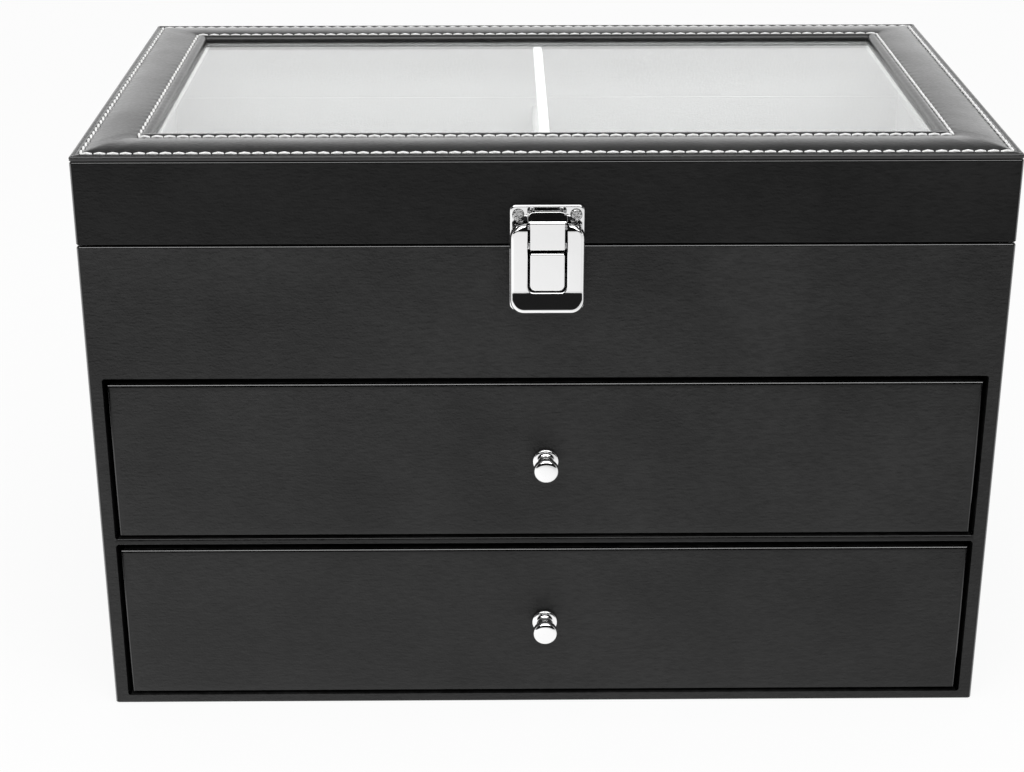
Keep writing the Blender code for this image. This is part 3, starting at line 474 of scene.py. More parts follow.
def makeLidWalls(shape):
    x, y = shape["halfWidth"], shape["halfDepth"]
    bm = startBox((-x, -y, shape["low"]), (x, y, shape["top"]))
    ends = [facing(bm, (0, 0, 1)), facing(bm, (0, 0, -1))]
    for end in ends:
        insetFace(bm, end, shape["wall"])
    bridgeHoles(bm, ends)
    roundEdges(bm, outwardEdges(bm, lambda edge: runsAlong(edge, 2)), shape["upright"], 4)
    roundEdges(bm, edgesWhere(bm, lambda co: co.z > shape["top"] - hair), shape["rim"], 5)
    roundEdges(bm, edgesWhere(bm, lambda co: co.z < shape["low"] + hair), shape["foot"], 3)
    markTurned(bm)
    finishPiece(bm, "lidSkin", shadedLidLeather, "lid", ("lid_front", "lid_back", "lid_left", "lid_right"))


makeLidWalls(lidShape)
print("lid walls made")


# lid's padded frame: rolled rim, crowned pad between two rows of stitching, lip down to the glass

padShape = dict(halfWidth=167.5, halfDepth=96.5, low=221.5, corner=1.3, foot=0.7, upper=222.6, fineFrom=222.9,
                # inset from the outer edge and height, from the rolled edge to the window, before it is filled
                section=((0.0, 222.3), (0.18, 222.8), (0.5, 223.15), (0.95, 223.3), (1.4, 223.2), (1.75, 222.95),
                         (2.1, 223.1), (2.6, 223.28), (3.1, 223.2), (3.5, 223.05), (3.9, 223.2), (5.2, 223.6),
                         (7.0, 223.92), (9.0, 224.14), (11.2, 224.28), (13.4, 224.36), (15.4, 224.38),
                         (17.4, 224.32), (19.0, 224.2), (20.2, 224.02), (20.8, 223.88), (21.2, 223.84),
                         (21.7, 224.15), (22.3, 224.5), (23.0, 224.6), (24.0, 224.5), (24.7, 224.2),
                         (25.15, 223.7), (25.4, 223.0), (25.5, 222.3)),
                rows=(3.5, 21.0), pitch=4.6, step=2.4, blend=7.0, smoothings=14, sewn=(0.5, 25.2),
                # wadding: pressure and frames of the simulation, then how far its movement may be scaled
                pressure=2500, frames=20, mostShare=3.0, mostRise=1.4, crown=225.0, quickRise=0.62,
                # depth and width of the thread's channel and of the puckers, scale and height of the folds
                channel=(0.14, 0.7), pucker=(0.05, 2.2), folds=((0.035, 0.12), (0.11, 0.05)))


def insetOf(point):
    return min(padShape["halfWidth"] - abs(point.x), padShape["halfDepth"] - abs(point.y))


def isWadded(vert):
    outer, inner = padShape["rows"]
    return outer + 0.2 < insetOf(vert.co) < inner - 0.3 and vert.co.z > padShape["upper"]


def fillPad(bm, shape):
    # cloth simulation: the wadding presses the leather up between its two sewn rows
    bm.verts.index_update()
    bm.verts.ensure_lookup_table()
    mesh = bpy.data.meshes.new("slackLeather")
    bm.to_mesh(mesh)
    mesh.transform(Matrix.Scale(toMetres, 4))
    slack = bpy.data.objects.new("slackLeather", mesh)
    bpy.context.scene.collection.objects.link(slack)
    sewn = slack.vertex_groups.new(name="sewn")
    sewn.add([vert.index for vert in bm.verts if not isWadded(vert)], 1.0, "REPLACE")
    cloth = slack.modifiers.new("leather", "CLOTH")
    cloth.settings.vertex_group_mass = "sewn"
    cloth.settings.use_pressure = True
    cloth.settings.uniform_pressure_force = shape["pressure"]
    cloth.settings.effector_weights.gravity = 0
    for number in range(1, shape["frames"] + 1):
        bpy.context.scene.frame_set(number)
    filled = slack.evaluated_get(bpy.context.evaluated_depsgraph_get()).data
    moves = [(after.co - before.co) / toMetres for before, after in zip(mesh.vertices, filled.vertices)]
    rise = max(move.z for move in moves)
    print("wadding raised the leather by", round(rise, 2), "mm")
    bpy.context.scene.frame_set(1)
    bpy.data.objects.remove(slack)
    highest = max(vert.co.z for vert in bm.verts)
    share = min((shape["crown"] - highest) / rise, shape["mostShare"])
    for vert, move in zip(bm.verts, moves):
        vert.co += move * min(share, shape["mostRise"] / max(move.length, 0.001))


def makePad(shape):
    x, y = shape["halfWidth"], shape["halfDepth"]
    section = shape["section"]
    outer, inner = shape["rows"]
    bm = startBox((-x, -y, shape["low"]), (x, y, section[0][1]))
    top = facing(bm, (0, 0, 1))
    uprights = [edge for edge in bm.edges if runsAlong(edge, 2)]
    for (inA, highA), (inB, highB) in zip(section, section[1:]):
        insetFace(bm, top, inB - inA, highB - highA)
    under = facing(bm, (0, 0, -1))
    insetFace(bm, under, section[-1][0])
    bridgeHoles(bm, [top, under])
    roundEdges(bm, uprights, shape["corner"], 3)
    atFoot = lambda co: co.z < shape["low"] + hair and insetOf(co) < shape["corner"]
    roundEdges(bm, [edge for edge in bm.edges if within(edge, atFoot)], shape["foot"], 4)
    for axis, half in ((0, x), (1, y)):
        along = [edge for edge in bm.edges if runsAlong(edge, axis) and edge.calc_length() > half
                 and edge.verts[0].co.z > section[0][1] - hair]
        bmesh.ops.subdivide_edges(bm, edges=along, cuts=int(2 * half / shape["step"]), use_grid_fill=True)
    # the crowns of two sides run softly into each other at a corner
    offDiagonal = lambda co: abs((x - abs(co.x)) - (y - abs(co.y)))
    atCorner = [vert for vert in bm.verts if isWadded(vert) and offDiagonal(vert.co) < shape["blend"]]
    for _ in range(shape["smoothings"]):
        bmesh.ops.smooth_vert(bm, verts=atCorner, factor=0.5, use_axis_x=False, use_axis_y=False,
                              use_axis_z=True)
    bmesh.ops.recalc_face_normals(bm, faces=bm.faces)
    fillPad(bm, shape)
    fine = [edge for edge in bm.edges if within(edge, lambda co: co.z > shape["fineFrom"]) and
            abs(insetOf(edge.verts[0].co) - insetOf(edge.verts[1].co)) < 0.02]
    bmesh.ops.subdivide_edges(bm, edges=fine, cuts=1, smooth=0.5, use_grid_fill=True)
    # the thread draws the leather down into a channel, with a pucker at every stitch
    (depth, width), (tuck, reach) = shape["channel"], shape["pucker"]
    for vert in bm.verts:
        inset = insetOf(vert.co)
        if shape["sewn"][0] < inset < shape["sewn"][1] and vert.co.z > shape["upper"]:
            side = vert.co.y if x - abs(vert.co.x) < y - abs(vert.co.y) else vert.co.x
            phase = math.cos(2 * math.pi * side / shape["pitch"])
            pull = 0.0
            for row in shape["rows"]:
                away = abs(inset - row)
                channel = (depth + depth * phase) * math.exp(-(away / width) ** 2)
                pull += channel + tuck * phase * math.exp(-away / reach)
            slow = sum(noise.noise(vert.co * scale) * size for scale, size in shape["folds"])
            vert.co.z += slow * ramp((inset - outer) / 4) * ramp((inner - inset) / 4) - pull
    return finishPiece(bm, "lidPad", padLeather, "lid", ("lid_top_frame",))


lidPad = makePad(padShape)
print("padded frame made")

# white saddle-like stitches, each one short thread that dips into its two holes
stitchShape = dict(length=(4.3, 3.9), width=1.05, height=1.05, slant=(3.5, 9.0), pitch=4.6, dip=0.42,
                   backSunk=0.25,
                   rows=(("outerStitching", 3.5, 223.42), ("innerStitching", 21.0, 224.3)))


def layStitch(bm, shape, length, turn, spot):
    made = bmesh.ops.create_uvsphere(bm, u_segments=8, v_segments=6, radius=0.5)["verts"]
    bmesh.ops.rotate(bm, verts=made, matrix=Matrix.Rotation(math.pi / 2, 3, "Y"))
    bmesh.ops.scale(bm, verts=made, vec=(shape["width"] * 1.3, shape["width"], shape["height"]))
    for vert in made:
        if abs(vert.co.x) > hair:
            vert.co.x += math.copysign(length / 2 - shape["width"] * 0.65, vert.co.x)
        vert.co.z -= shape["dip"] * (2 * vert.co.x / length) ** 2
    bmesh.ops.rotate(bm, verts=made, matrix=Matrix.Rotation(turn, 3, "Z"))
    bmesh.ops.translate(bm, verts=made, vec=spot)


def makeStitching(shape):
    for name, inset, height in shape["rows"]:
        x, y = padShape["halfWidth"] - inset, padShape["halfDepth"] - inset
        bm = bmesh.new()
        for axis, half, other in ((0, x, y), (1, y, x)):
            count = round(2 * half / shape["pitch"])
            pitch = 2 * half / count
            for side in (-1, 1):
                # along the back the outer row lies deeper
                sunk = shape["backSunk"] if (name, axis, side) == ("outerStitching", 0, 1) else 0.0
                for index in range(count):
                    turn = math.radians(90 * axis + shape["slant"][axis] + random.uniform(-2.0, 2.0))
                    along = -half + (index + 0.5) * pitch + random.uniform(-0.12, 0.12)
                    spot = [along, side * other, height - sunk + random.uniform(-0.03, 0.03)]
                    if axis:
                        spot[0], spot[1] = spot[1], spot[0]
                    layStitch(bm, shape, shape["length"][axis], turn, spot)
        piece = finishPiece(bm, name, thread, "lid", smooth=False)
        piece.data.shade_smooth()


makeStitching(stitchShape)
print("stitching made")


# window: the glass, which stands a little higher than the CAD's, the strip under it and the lining round it

glassShape = dict(rise=0.8, edge=0.3)
low, high = inMillimetres(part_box("window_glass"))
bm = startBox(low, (high.x, high.y, high.z + glassShape["rise"]))
roundEdges(bm, outwardEdges(bm), glassShape["edge"], 2)
windowGlass = finishPiece(bm, "windowGlass", glass, "lid", ("window_glass",))
windowGlass.visible_shadow = False

barShape = dict(halfWidth=1.9, end=75.8, low=215.4, top=217.6, edge=0.7)
barLow = (-barShape["halfWidth"], -barShape["end"], barShape["low"])
bm = startBox(barLow, (barShape["halfWidth"], barShape["end"], barShape["top"]))
roundEdges(bm, [edge for edge in bm.edges if runsAlong(edge, 1)], barShape["edge"], 4)
finishPiece(bm, "windowStrip", paintedLitVelvet, "lid", ("window_bar",))

# the linings lap towards the seam, so that no light comes in through it
liningShape = dict(wall=1.2, edge=0.1, lap=1.42, windowHalf=141.0)


def makeLidLining(shape):
    low, high = inMillimetres(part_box("lid_lining"))
    low.z -= shape["lap"]
    bm = startBox(low, high)
    top, mouth = facing(bm, (0, 0, 1)), facing(bm, (0, 0, -1))
    insetFace(bm, mouth, shape["wall"])
    pushFace(bm, mouth, (0, 0, high.z - low.z - shape["wall"]))
    insetFace(bm, top, high.x - shape["windowHalf"])
    bm.normal_update()
    ceiling = [face for face in bm.faces if face.normal.z < -0.9 and middleOf(face).z > high.z - 2][0]
    insetFace(bm, ceiling, high.x - shape["wall"] - shape["windowHalf"])
    bridgeHoles(bm, [top, ceiling])
    roundEdges(bm, outwardEdges(bm), shape["edge"], 1)
    finishPiece(bm, "lidLining", velvet, "lid", ("lid_lining",))


makeLidLining(liningShape)

dividerShape = dict(wall=4.0, edge=1.6, rows=(1, 2))


def makeTrayLining(prefix, body, lap=0.0):
    low, high = inMillimetres(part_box(f"{prefix}_lining"))
    high.z += lap
    bm = startBox(low, high)
    mouth = facing(bm, (0, 0, 1))
    insetFace(bm, mouth, liningShape["wall"])
    pushFace(bm, mouth, (0, 0, low.z - high.z + liningShape["wall"]))
    roundEdges(bm, outwardEdges(bm), liningShape["edge"], 1)
    finishPiece(bm, f"{prefix}Velvet", velvet, body, (f"{prefix}_lining",))
    low, high = inMillimetres(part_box(f"{prefix}_divider"))
    bm = bmesh.new()
    wall = dividerShape["wall"]
    pitch = (high.y - low.y - 2 * wall) / 3 + wall
    strips = [(-wall / 2, wall / 2, low.y, high.y)]
    strips += [(low.x, high.x, low.y + row * pitch - wall, low.y + row * pitch) for row in dividerShape["rows"]]
    for left, right, front, back in strips:
        part = startBox((left, front, low.z), (right, back, high.z))
        axis = 0 if right - left > back - front else 1
        ridge = [edge for edge in part.edges if runsAlong(edge, axis) and edge.verts[0].co.z > high.z - 1]
        roundEdges(part, ridge, dividerShape["edge"], 5)
        addTo(bm, part)
    finishPiece(bm, f"{prefix}Grid", velvet, body, (f"{prefix}_divider",))


makeTrayLining("tray", "case", liningShape["lap"])
makeTrayLining("lower_drawer", "lower_drawer")
makeTrayLining("upper_drawer", "upper_drawer")
print("linings made")


# drawers

# the skin is drawn over the board's edges: how far in from an edge, and how far back the skin lies there
drawerShape = dict(corner=1.2, footRoll=1.5,
                   roll=((0.0, 1.5), (0.06, 1.08), (0.22, 0.72), (0.48, 0.44), (0.85, 0.26), (1.4, 0.14),
                         (2.2, 0.06), (3.2, 0.015), (4.4, 0.0)))


def makeDrawerFace(drawer, shape):
    low, high = inMillimetres(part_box(f"{drawer}_front"))
    roll = shape["roll"]
    bm = startBox((low.x, low.y + roll[0][1], low.z), high)
    face = facing(bm, (0, -1, 0))
    uprights = [edge for edge in bm.edges if runsAlong(edge, 1)]
    for (inA, backA), (inB, backB) in zip(roll, roll[1:]):
        insetFace(bm, face, inB - inA, backA - backB)
    roundEdges(bm, uprights, shape["corner"], 4)
    # the skin is tighter along the foot
    for vert in bm.verts:
        if 0 < vert.co.z - low.z < shape["footRoll"]:
            vert.co.z = low.z + (vert.co.z - low.z) ** 2 / shape["footRoll"]
    markTurned(bm)
    finishPiece(bm, f"{drawer}Face", leatherette, drawer, (f"{drawer}_front",))


for drawer in ("lower_drawer", "upper_drawer"):
    makeDrawerFace(drawer, drawerShape)
    for part in ("left_side", "right_side", "back", "bottom"):
        dressNode(f"{drawer}_{part}", paper)
    dressNode(f"{drawer}_knob_screw", steel)

# turned knob: distance out from the drawer and radius, from the flange to the domed face
knobShape = dict(profile=((0.3, 0.0), (0.3, 4.5), (0.55, 4.8), (1.1, 4.87), (1.5, 4.72), (1.72, 4.4),
                          (1.78, 4.0), (1.9, 3.6), (2.3, 3.1), (2.9, 2.75), (3.7, 2.52), (4.8, 2.45), (5.8, 2.6),
                          (6.5, 3.0), (6.95, 3.7), (7.25, 4.2), (7.7, 4.55), (8.3, 4.7), (8.95, 4.7),
                          (9.38, 4.64), (9.78, 4.48), (10.12, 4.22), (10.38, 3.87), (10.54, 3.48), (10.65, 3.05),
                          (10.74, 2.6), (10.82, 1.6), (10.86, 0.8), (10.87, 0.0)),
                 steps=64)


def makeKnob(name, node, body, shape):
    low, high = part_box(node)
    middle = (low + high) / 2 / toMetres
    bm = turnProfile([(0, -out, radius) for out, radius in shape["profile"]], (0, 1, 0), shape["steps"])
    bmesh.ops.translate(bm, vec=(middle.x, caseFront, middle.z), verts=bm.verts)
    finishPiece(bm, name, chrome, body, (node,))


makeKnob("lowerKnob", "lower_drawer_knob", "lower_drawer", knobShape)
makeKnob("upperKnob", "upper_drawer_knob", "upper_drawer", knobShape)
print("drawers made")


# latch: pressed and bent chrome sheet, measured out from the case's front

def flatSheet(outline, thickness):
    # corners are (across, along, radius), anticlockwise; the sheet's face looks to -y
    bm = bmesh.new()
    verts = [bm.verts.new((across, 0, along)) for across, along, radius in outline]
    bm.faces.new(verts)
    for vert, (across, along, radius) in zip(verts, outline):
        if radius:
            bmesh.ops.bevel(bm, geom=[vert], offset=radius, offset_type="OFFSET", segments=8, profile=0.5,
                            affect="VERTICES", material=-1, clamp_overlap=True)
    made = bmesh.ops.extrude_face_region(bm, geom=list(bm.faces))["geom"]
    behind = [item for item in made if isinstance(item, bmesh.types.BMVert)]
    bmesh.ops.translate(bm, vec=(0, thickness, 0), verts=behind)
    bmesh.ops.recalc_face_normals(bm, faces=bm.faces)
    return bm


def mirrored(right):
    # a whole outline from its right half, which runs up from the foot
    left = [(-across, along, radius) for across, along, radius in right]
    return left[:1] + right + left[:0:-1]


def walk(place, heading, turn, length, steps):
    # where a run that starts at place and turns evenly ends
    place = place.copy()
    for step in range(steps):
        now = math.radians(heading + turn * (step + 0.5) / steps)
        place += Vector((math.cos(now), math.sin(now))) * length / steps
    return place


def bendSheet(bm, path, start, heading=90.0):
    # path is (turn in degrees, length) runs from the sheet's foot up; start is (out, height) of its outer face
    runs = []
    place, along = Vector(start), 0.0
    for turn, length in path:
        runs.append((along, along + length, place, heading, turn))
        place = walk(place, heading, turn, length, 24)
        heading += turn
        along += length
    for begin, end, _, _, turn in runs:
        count = max(1, round(abs(turn) / 10))
        steps = range(count + (1 if turn else 0))
        cutLevels(bm, [begin + (end - begin) * step / count for step in steps])
    for vert in bm.verts:
        for begin, end, foot, heading, turn in runs:
            if vert.co.z <= end + 0.0001 or end == runs[-1][1]:
                share = (vert.co.z - begin) / (end - begin)
                spot = walk(foot, heading, turn * share, vert.co.z - begin, 12)
                now = math.radians(heading + turn * share)
                inward = Vector((-math.sin(now), math.cos(now))) * vert.co.y
                vert.co.y, vert.co.z = caseFront - spot.x - inward.x, spot.y + inward.y
                break


def rodAlongX(left, right, radius, y, z, segments=32):
    bm = bmesh.new()
    bmesh.ops.create_cone(bm, cap_ends=True, segments=segments, radius1=radius, radius2=radius,
                          depth=right - left)
    bmesh.ops.rotate(bm, verts=bm.verts, matrix=Matrix.Rotation(math.pi / 2, 3, "Y"))
    isRing = lambda edge: abs(edge.verts[0].co.x - edge.verts[1].co.x) < 0.001
    roundEdges(bm, outwardEdges(bm, isRing, 50), 0.2, 2)
    bmesh.ops.translate(bm, verts=bm.verts, vec=((left + right) / 2, y, z))
    return bm


def faceRim(bm, out):
    # the edges round the face of a sheet that stands this far out
    return edgesWhere(bm, lambda co: co.y < caseFront - out + hair, 50)


keeperShape = dict(half=13.35, low=190.6, high=205.4, out=1.3, sheet=1.0, corner=2.2, edge=0.9,
                   holeHalf=6.6, holeLow=199.6, holeHigh=202.6, holeCorner=1.2, paintedShadeHalf=8.4, rimFrom=7.5)
# the tongue leaves the plate at the foot of the hole, runs out and turns up into the catch
tongueShape = dict(half=5.9, length=6.6, sheet=0.8, corner=0.5, edge=0.2, out=0.9, shelf=200.3,
                   curlOut=4.8, curlHigh=200.5, reach=1.0, curl=(4.0, 5.6), cuts=(0.5, 4.0, 4.4, 4.8, 5.2, 5.6))


def makeTongue(shape):
    half, sheet = shape["half"], shape["sheet"]
    bm = flatSheet(mirrored([(half, 0, 0), (half, shape["length"], shape["corner"])]), sheet)
    roundEdges(bm, outwardEdges(bm, None, 50), shape["edge"], 2)
    cutLevels(bm, shape["cuts"])
    (begin, end), reach, level = shape["curl"], shape["reach"], shape["curlHigh"]
    for vert in bm.verts:
        along, depth = vert.co.z, vert.co.y
        if along < begin:
            out, up = shape["out"] + along, shape["shelf"] - sheet + depth
        elif along < end:
            angle = (along - begin) / (end - begin) * math.pi / 2
            out = shape["curlOut"] + (reach - depth) * math.sin(angle)
            up = level - (reach - depth) * math.cos(angle)
        else:
            out, up = shape["curlOut"] + reach - depth, level + along - end
        vert.co.y, vert.co.z = caseFront - out, up
    return bm


def makeKeeper(shape):
    half, low, high, face = shape["half"], shape["low"], shape["high"], caseFront - shape["out"]
    holeHalf, holeLow, holeHigh = shape["holeHalf"], shape["holeLow"], shape["holeHigh"]
    bm = startBox((-half, face, low), (half, face + shape["sheet"], high))
    holes = []
    for end in [facing(bm, (0, -1, 0)), facing(bm, (0, 1, 0))]:
        middle = [part for part in splitFace(bm, [end], 0, (-holeHalf, holeHalf)) if abs(middleOf(part).x) < 1]
        cells = splitFace(bm, middle, 2, (holeLow, holeHigh))
        holes.append(min(cells, key=lambda part: abs(middleOf(part).z - (holeLow + holeHigh) / 2)))
    bridgeHoles(bm, holes)
    for across, level, radius in ((half, high, shape["corner"]), (holeHalf, holeHigh, shape["holeCorner"])):
        atCorner = lambda co: abs(abs(co.x) - across) < hair and co.z > level - 0.1
        corners = [edge for edge in bm.edges if runsAlong(edge, 1) and atCorner(edge.verts[0].co)]
        roundEdges(bm, corners, radius, 8)
    isRim = lambda co: co.y < face + hair and (abs(co.x) > shape["rimFrom"] or co.z > high - 0.1)
    roundEdges(bm, edgesWhere(bm, isRim, 50), shape["edge"], 5, clamp=False)
    bm.normal_update()
    # the plate's face below the hole, near the middle, takes the dark steel: painted shade behind the hook and
    # lever
    paintedShadeHalf = shape["paintedShadeHalf"]
    plate = splitFace(bm, [part for part in bm.faces if part.normal.y < -0.9], 0, (-paintedShadeHalf, paintedShadeHalf))
    splitFace(bm, plate, 2, (holeLow,))
    bm.normal_update()
    for part in bm.faces:
        if part.normal.y < -0.9 and abs(middleOf(part).x) < paintedShadeHalf and middleOf(part).z < holeLow:
            part.material_index = 1
    addTo(bm, makeTongue(tongueShape))
    finishPiece(bm, "latchKeeper", chrome, "lid", ("latch_keeper",), paintedShadeMaterial=paintedShadeSteel)


makeKeeper(keeperShape)

baseShape = dict(half=13.35, low=165.5, high=189.4, out=1.3, sheet=1.0, corner=2.2, topCorner=0.5, edge=0.5,
                 paintedShadeArea=(8.4, 172.6))
# the raised island in the lever's window, below the hook
islandShape = dict(half=6.3, low=174.9, high=189.2, out=7.2, corner=2.2, topCorner=0.8, edge=0.6, foot=0.8)
# the ears that hold the lever's pin, seen from the side: distance out, height and corner radius
earShape = dict(at=10.4, sheet=0.55, top=198.9,
                outline=((1.0, 178.0, 0), (2.9, 179.9, 1), (2.9, 193.4, 1), (6.1, 196.6, 1), (6.6, 198.1, 1),
                         (5.6, 199.9, 1), (3.6, 199.9, 1), (2.6, 198.2, 1), (1.65, 195.8, 0.5),
                         (1.65, 189.6, 0.4), (1.0, 189.0, 0)))


def plateOf(shape, thickness):
    half = shape["half"]
    right = [(half, shape["low"], shape["corner"]), (half, shape["high"], shape["topCorner"])]
    bm = flatSheet(mirrored(right), thickness)
    bmesh.ops.translate(bm, verts=bm.verts, vec=(0, caseFront - shape["out"], 0))
    return bm


def addSides(bm, shape):
    # upright sheets left and right, with their outer faces this far from the middle
    for side in (-1, 1):
        sheet = flatSheet(shape["outline"], shape["sheet"])
        for vert in sheet.verts:
            out, deep, height = vert.co
            vert.co = (side * (shape["at"] + deep), caseFront - out, min(height, shape["top"]))
        addTo(bm, sheet)


def makeLatchBase(shape, islandShape):
    bm = plateOf(shape, shape["sheet"])
    roundEdges(bm, faceRim(bm, shape["out"]), shape["edge"], 3)
    # the middle of the plate above this height takes the dark steel: painted shade in the gap round the island,
    # behind the lever
    paintedShadeHalf, paintedShadeLow = shape["paintedShadeArea"]
    strips = splitFace(bm, [facing(bm, (0, -1, 0))], 0, (-paintedShadeHalf, paintedShadeHalf))
    middle = [face for face in strips if abs(middleOf(face).x) < paintedShadeHalf]
    for face in splitFace(bm, middle, 2, (paintedShadeLow,)):
        if middleOf(face).z > paintedShadeLow:
            face.material_index = 1
    island = plateOf(islandShape, islandShape["out"] - islandShape["foot"])
    roundEdges(island, faceRim(island, islandShape["out"]), islandShape["edge"], 5, clamp=False)
    island.normal_update()
    # the island's sides take the dark steel: painted shade
    for face in island.faces:
        if abs(face.normal.y) < 0.1 and face.normal.z < 0.5:
            face.material_index = 1
    addTo(bm, island)
    addSides(bm, earShape)
    finishPiece(bm, "latchBase", chrome, "case", ("latch_base",), paintedShadeMaterial=paintedShadeSteel)


makeLatchBase(baseShape, islandShape)

# the lever's cheeks, drawn like the ears
cheekShape = dict(at=11.7, sheet=0.6, top=200.0,
                  outline=((2.2, 178.7, 1), (6.4, 176.4, 0.5), (6.4, 195.6, 0.5), (5.2, 195.4, 0.8),
                           (2.2, 194.0, 0.8)))
# pressed lever: a dished plate whose edges are drawn back all round, deepest at the shoulders; it is drawn flat
# from the finger lip (0) to the top, then bent: turn in degrees and length of each run
leverShape = dict(half=13.15, window=7.0, sheet=1.9, skin=0.9, wall=0.8, deep=3.6, deepFrom=(21.0, 25.0),
                  windowLow=7.5, windowCorner=2.3, tipCorner=4.8, shoulder=6.2, edge=1.45, mouthEdge=0.45, lip=3.0,
                  runs=((0, 7.2), (-16, 0.9), (0, 22.0), (24, 1.0), (0, 2.5)), start=(9.91, 167.5), heading=106.0)


def makeLever(shape):
    half, window, sheet, skin = shape["half"], shape["window"], shape["sheet"], shape["skin"]
    end = sum(length for turn, length in shape["runs"])
    right = [(half, 0, shape["tipCorner"]), (half, end, shape["shoulder"]), (window, end, 0),
             (window, shape["windowLow"], shape["windowCorner"])]
    bm = flatSheet(mirrored(right), sheet)
    onFace = lambda edge: within(edge, lambda co: co.y < hair)
    isOuter = lambda edge: onFace(edge) and (any(abs(vert.co.x) > window + 0.5 for vert in edge.verts)
                                             or within(edge, lambda co: co.z < shape["lip"]))
    outer = outwardEdges(bm, isOuter, 50)
    mouth = outwardEdges(bm, lambda edge: onFace(edge) and not isOuter(edge), 50)
    roundEdges(bm, outer, shape["edge"], 6, clamp=False)
    roundEdges(bm, [edge for edge in mouth if edge.is_valid], shape["mouthEdge"], 3, clamp=False)
    back = facing(bm, (0, 1, 0))
    insetFace(bm, back, shape["wall"])
    pushFace(bm, back, (0, skin - sheet, 0))
    low, high = shape["deepFrom"]
    cutLevels(bm, (low, (low + high) / 2, high))
    for vert in bm.verts:
        if vert.co.y > sheet - 0.05:
            vert.co.y += (shape["deep"] - sheet) * ramp((vert.co.z - low) / (high - low))
    bm.normal_update()
    # the walls of the hollow beside the window and of the shoulders take the dark steel: painted shade
    for face in bm.faces:
        middle, steep = middleOf(face), abs(face.normal.y)
        inside = middle.y > skin - 0.05 and steep < 0.9 and abs(middle.x) < window + 0.1
        onShoulder = middle.z > end - shape["shoulder"] and middle.y > 0.9 * shape["edge"] and steep < 0.6
        if inside or onShoulder:
            face.material_index = 1
    bendSheet(bm, shape["runs"], shape["start"], shape["heading"])
    addSides(bm, cheekShape)
    finishPiece(bm, "latchLever", chrome, "latch_lever", ("latch_lever",), paintedShadeMaterial=paintedShadeSteel)


makeLever(leverShape)

hookShape = dict(half=6.15, head=7.0, sheet=0.8, edge=0.3, neckRise=0.6, capLow=3.0, capCorner=2.1, toothIn=1.4,
                 # turn in degrees and length of each run: plate, ridge, cap that leans back, brow, top, bend, tooth
                 runs=((0, 9.6), (60, 0.9), (-38, 0.4), (0, 3.1), (66, 0.4), (0, 0.1), (85, 0.8), (5, 1.9)),
                 start=(7.6, 190.6), pin=(6.3, 1.7), pinOut=4.6, pinHigh=191.6, web=(6.2, 7.0, 0.85))


def makeHook(shape):
    half, head, rise = shape["half"], shape["head"], shape["neckRise"]
    neck, tip = shape["runs"][0][1] + rise, sum(length for turn, length in shape["runs"])
    cap, tooth = tip - shape["capLow"], half - shape["toothIn"]
    right = [(half, 0, 0.3), (half, neck, 0.4), (head, neck + rise, 0.3), (head, cap, shape["capCorner"]),
             (tooth, cap, 0), (tooth, tip, 0.4)]
    bm = flatSheet(mirrored(right), shape["sheet"])
    roundEdges(bm, edgesWhere(bm, lambda co: co.y < hair, 50), shape["edge"], 3, clamp=False)
    bendSheet(bm, shape["runs"], shape["start"])
    pinHalf, pinRadius = shape["pin"]
    out, height = shape["pinOut"], shape["pinHigh"]
    addTo(bm, rodAlongX(-pinHalf, pinHalf, pinRadius, caseFront - out, height))
    # a web joins the rolled eye to the plate
    webHalf, webOut, webRise = shape["web"]
    webLow = (-webHalf, caseFront - webOut, height - webRise)
    addTo(bm, startBox(webLow, (webHalf, caseFront - out, height + webRise)))
    finishPiece(bm, "latchHook", chrome, "latch_hook", ("latch_hook",))


makeHook(hookShape)

pinHalf = 11.0
low, high = inMillimetres(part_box("lever_pin"))
middle = (low + high) / 2
pin = rodAlongX(-pinHalf, pinHalf, (high.z - low.z) / 2, middle.y, middle.z)
finishPiece(pin, "leverPin", steel, "case", ("lever_pin",))

for name in ("hook_pin", "hinge_left_pin", "hinge_right_pin"):
    dressNode(name, steel)

# pan-head screws with a cross recess; the CAD screws' places are kept
screwShape = dict(radius=2.15, height=0.75, shank=0.9, length=5.2, cross=0.7, span=2.8, depth=0.6, seat=1.1,
                  steps=32,
                  # the head: share of its radius, and how far below its top
                  head=((0.5, 0.02), (0.8, 0.07), (0.92, 0.18), (0.99, 0.4)))


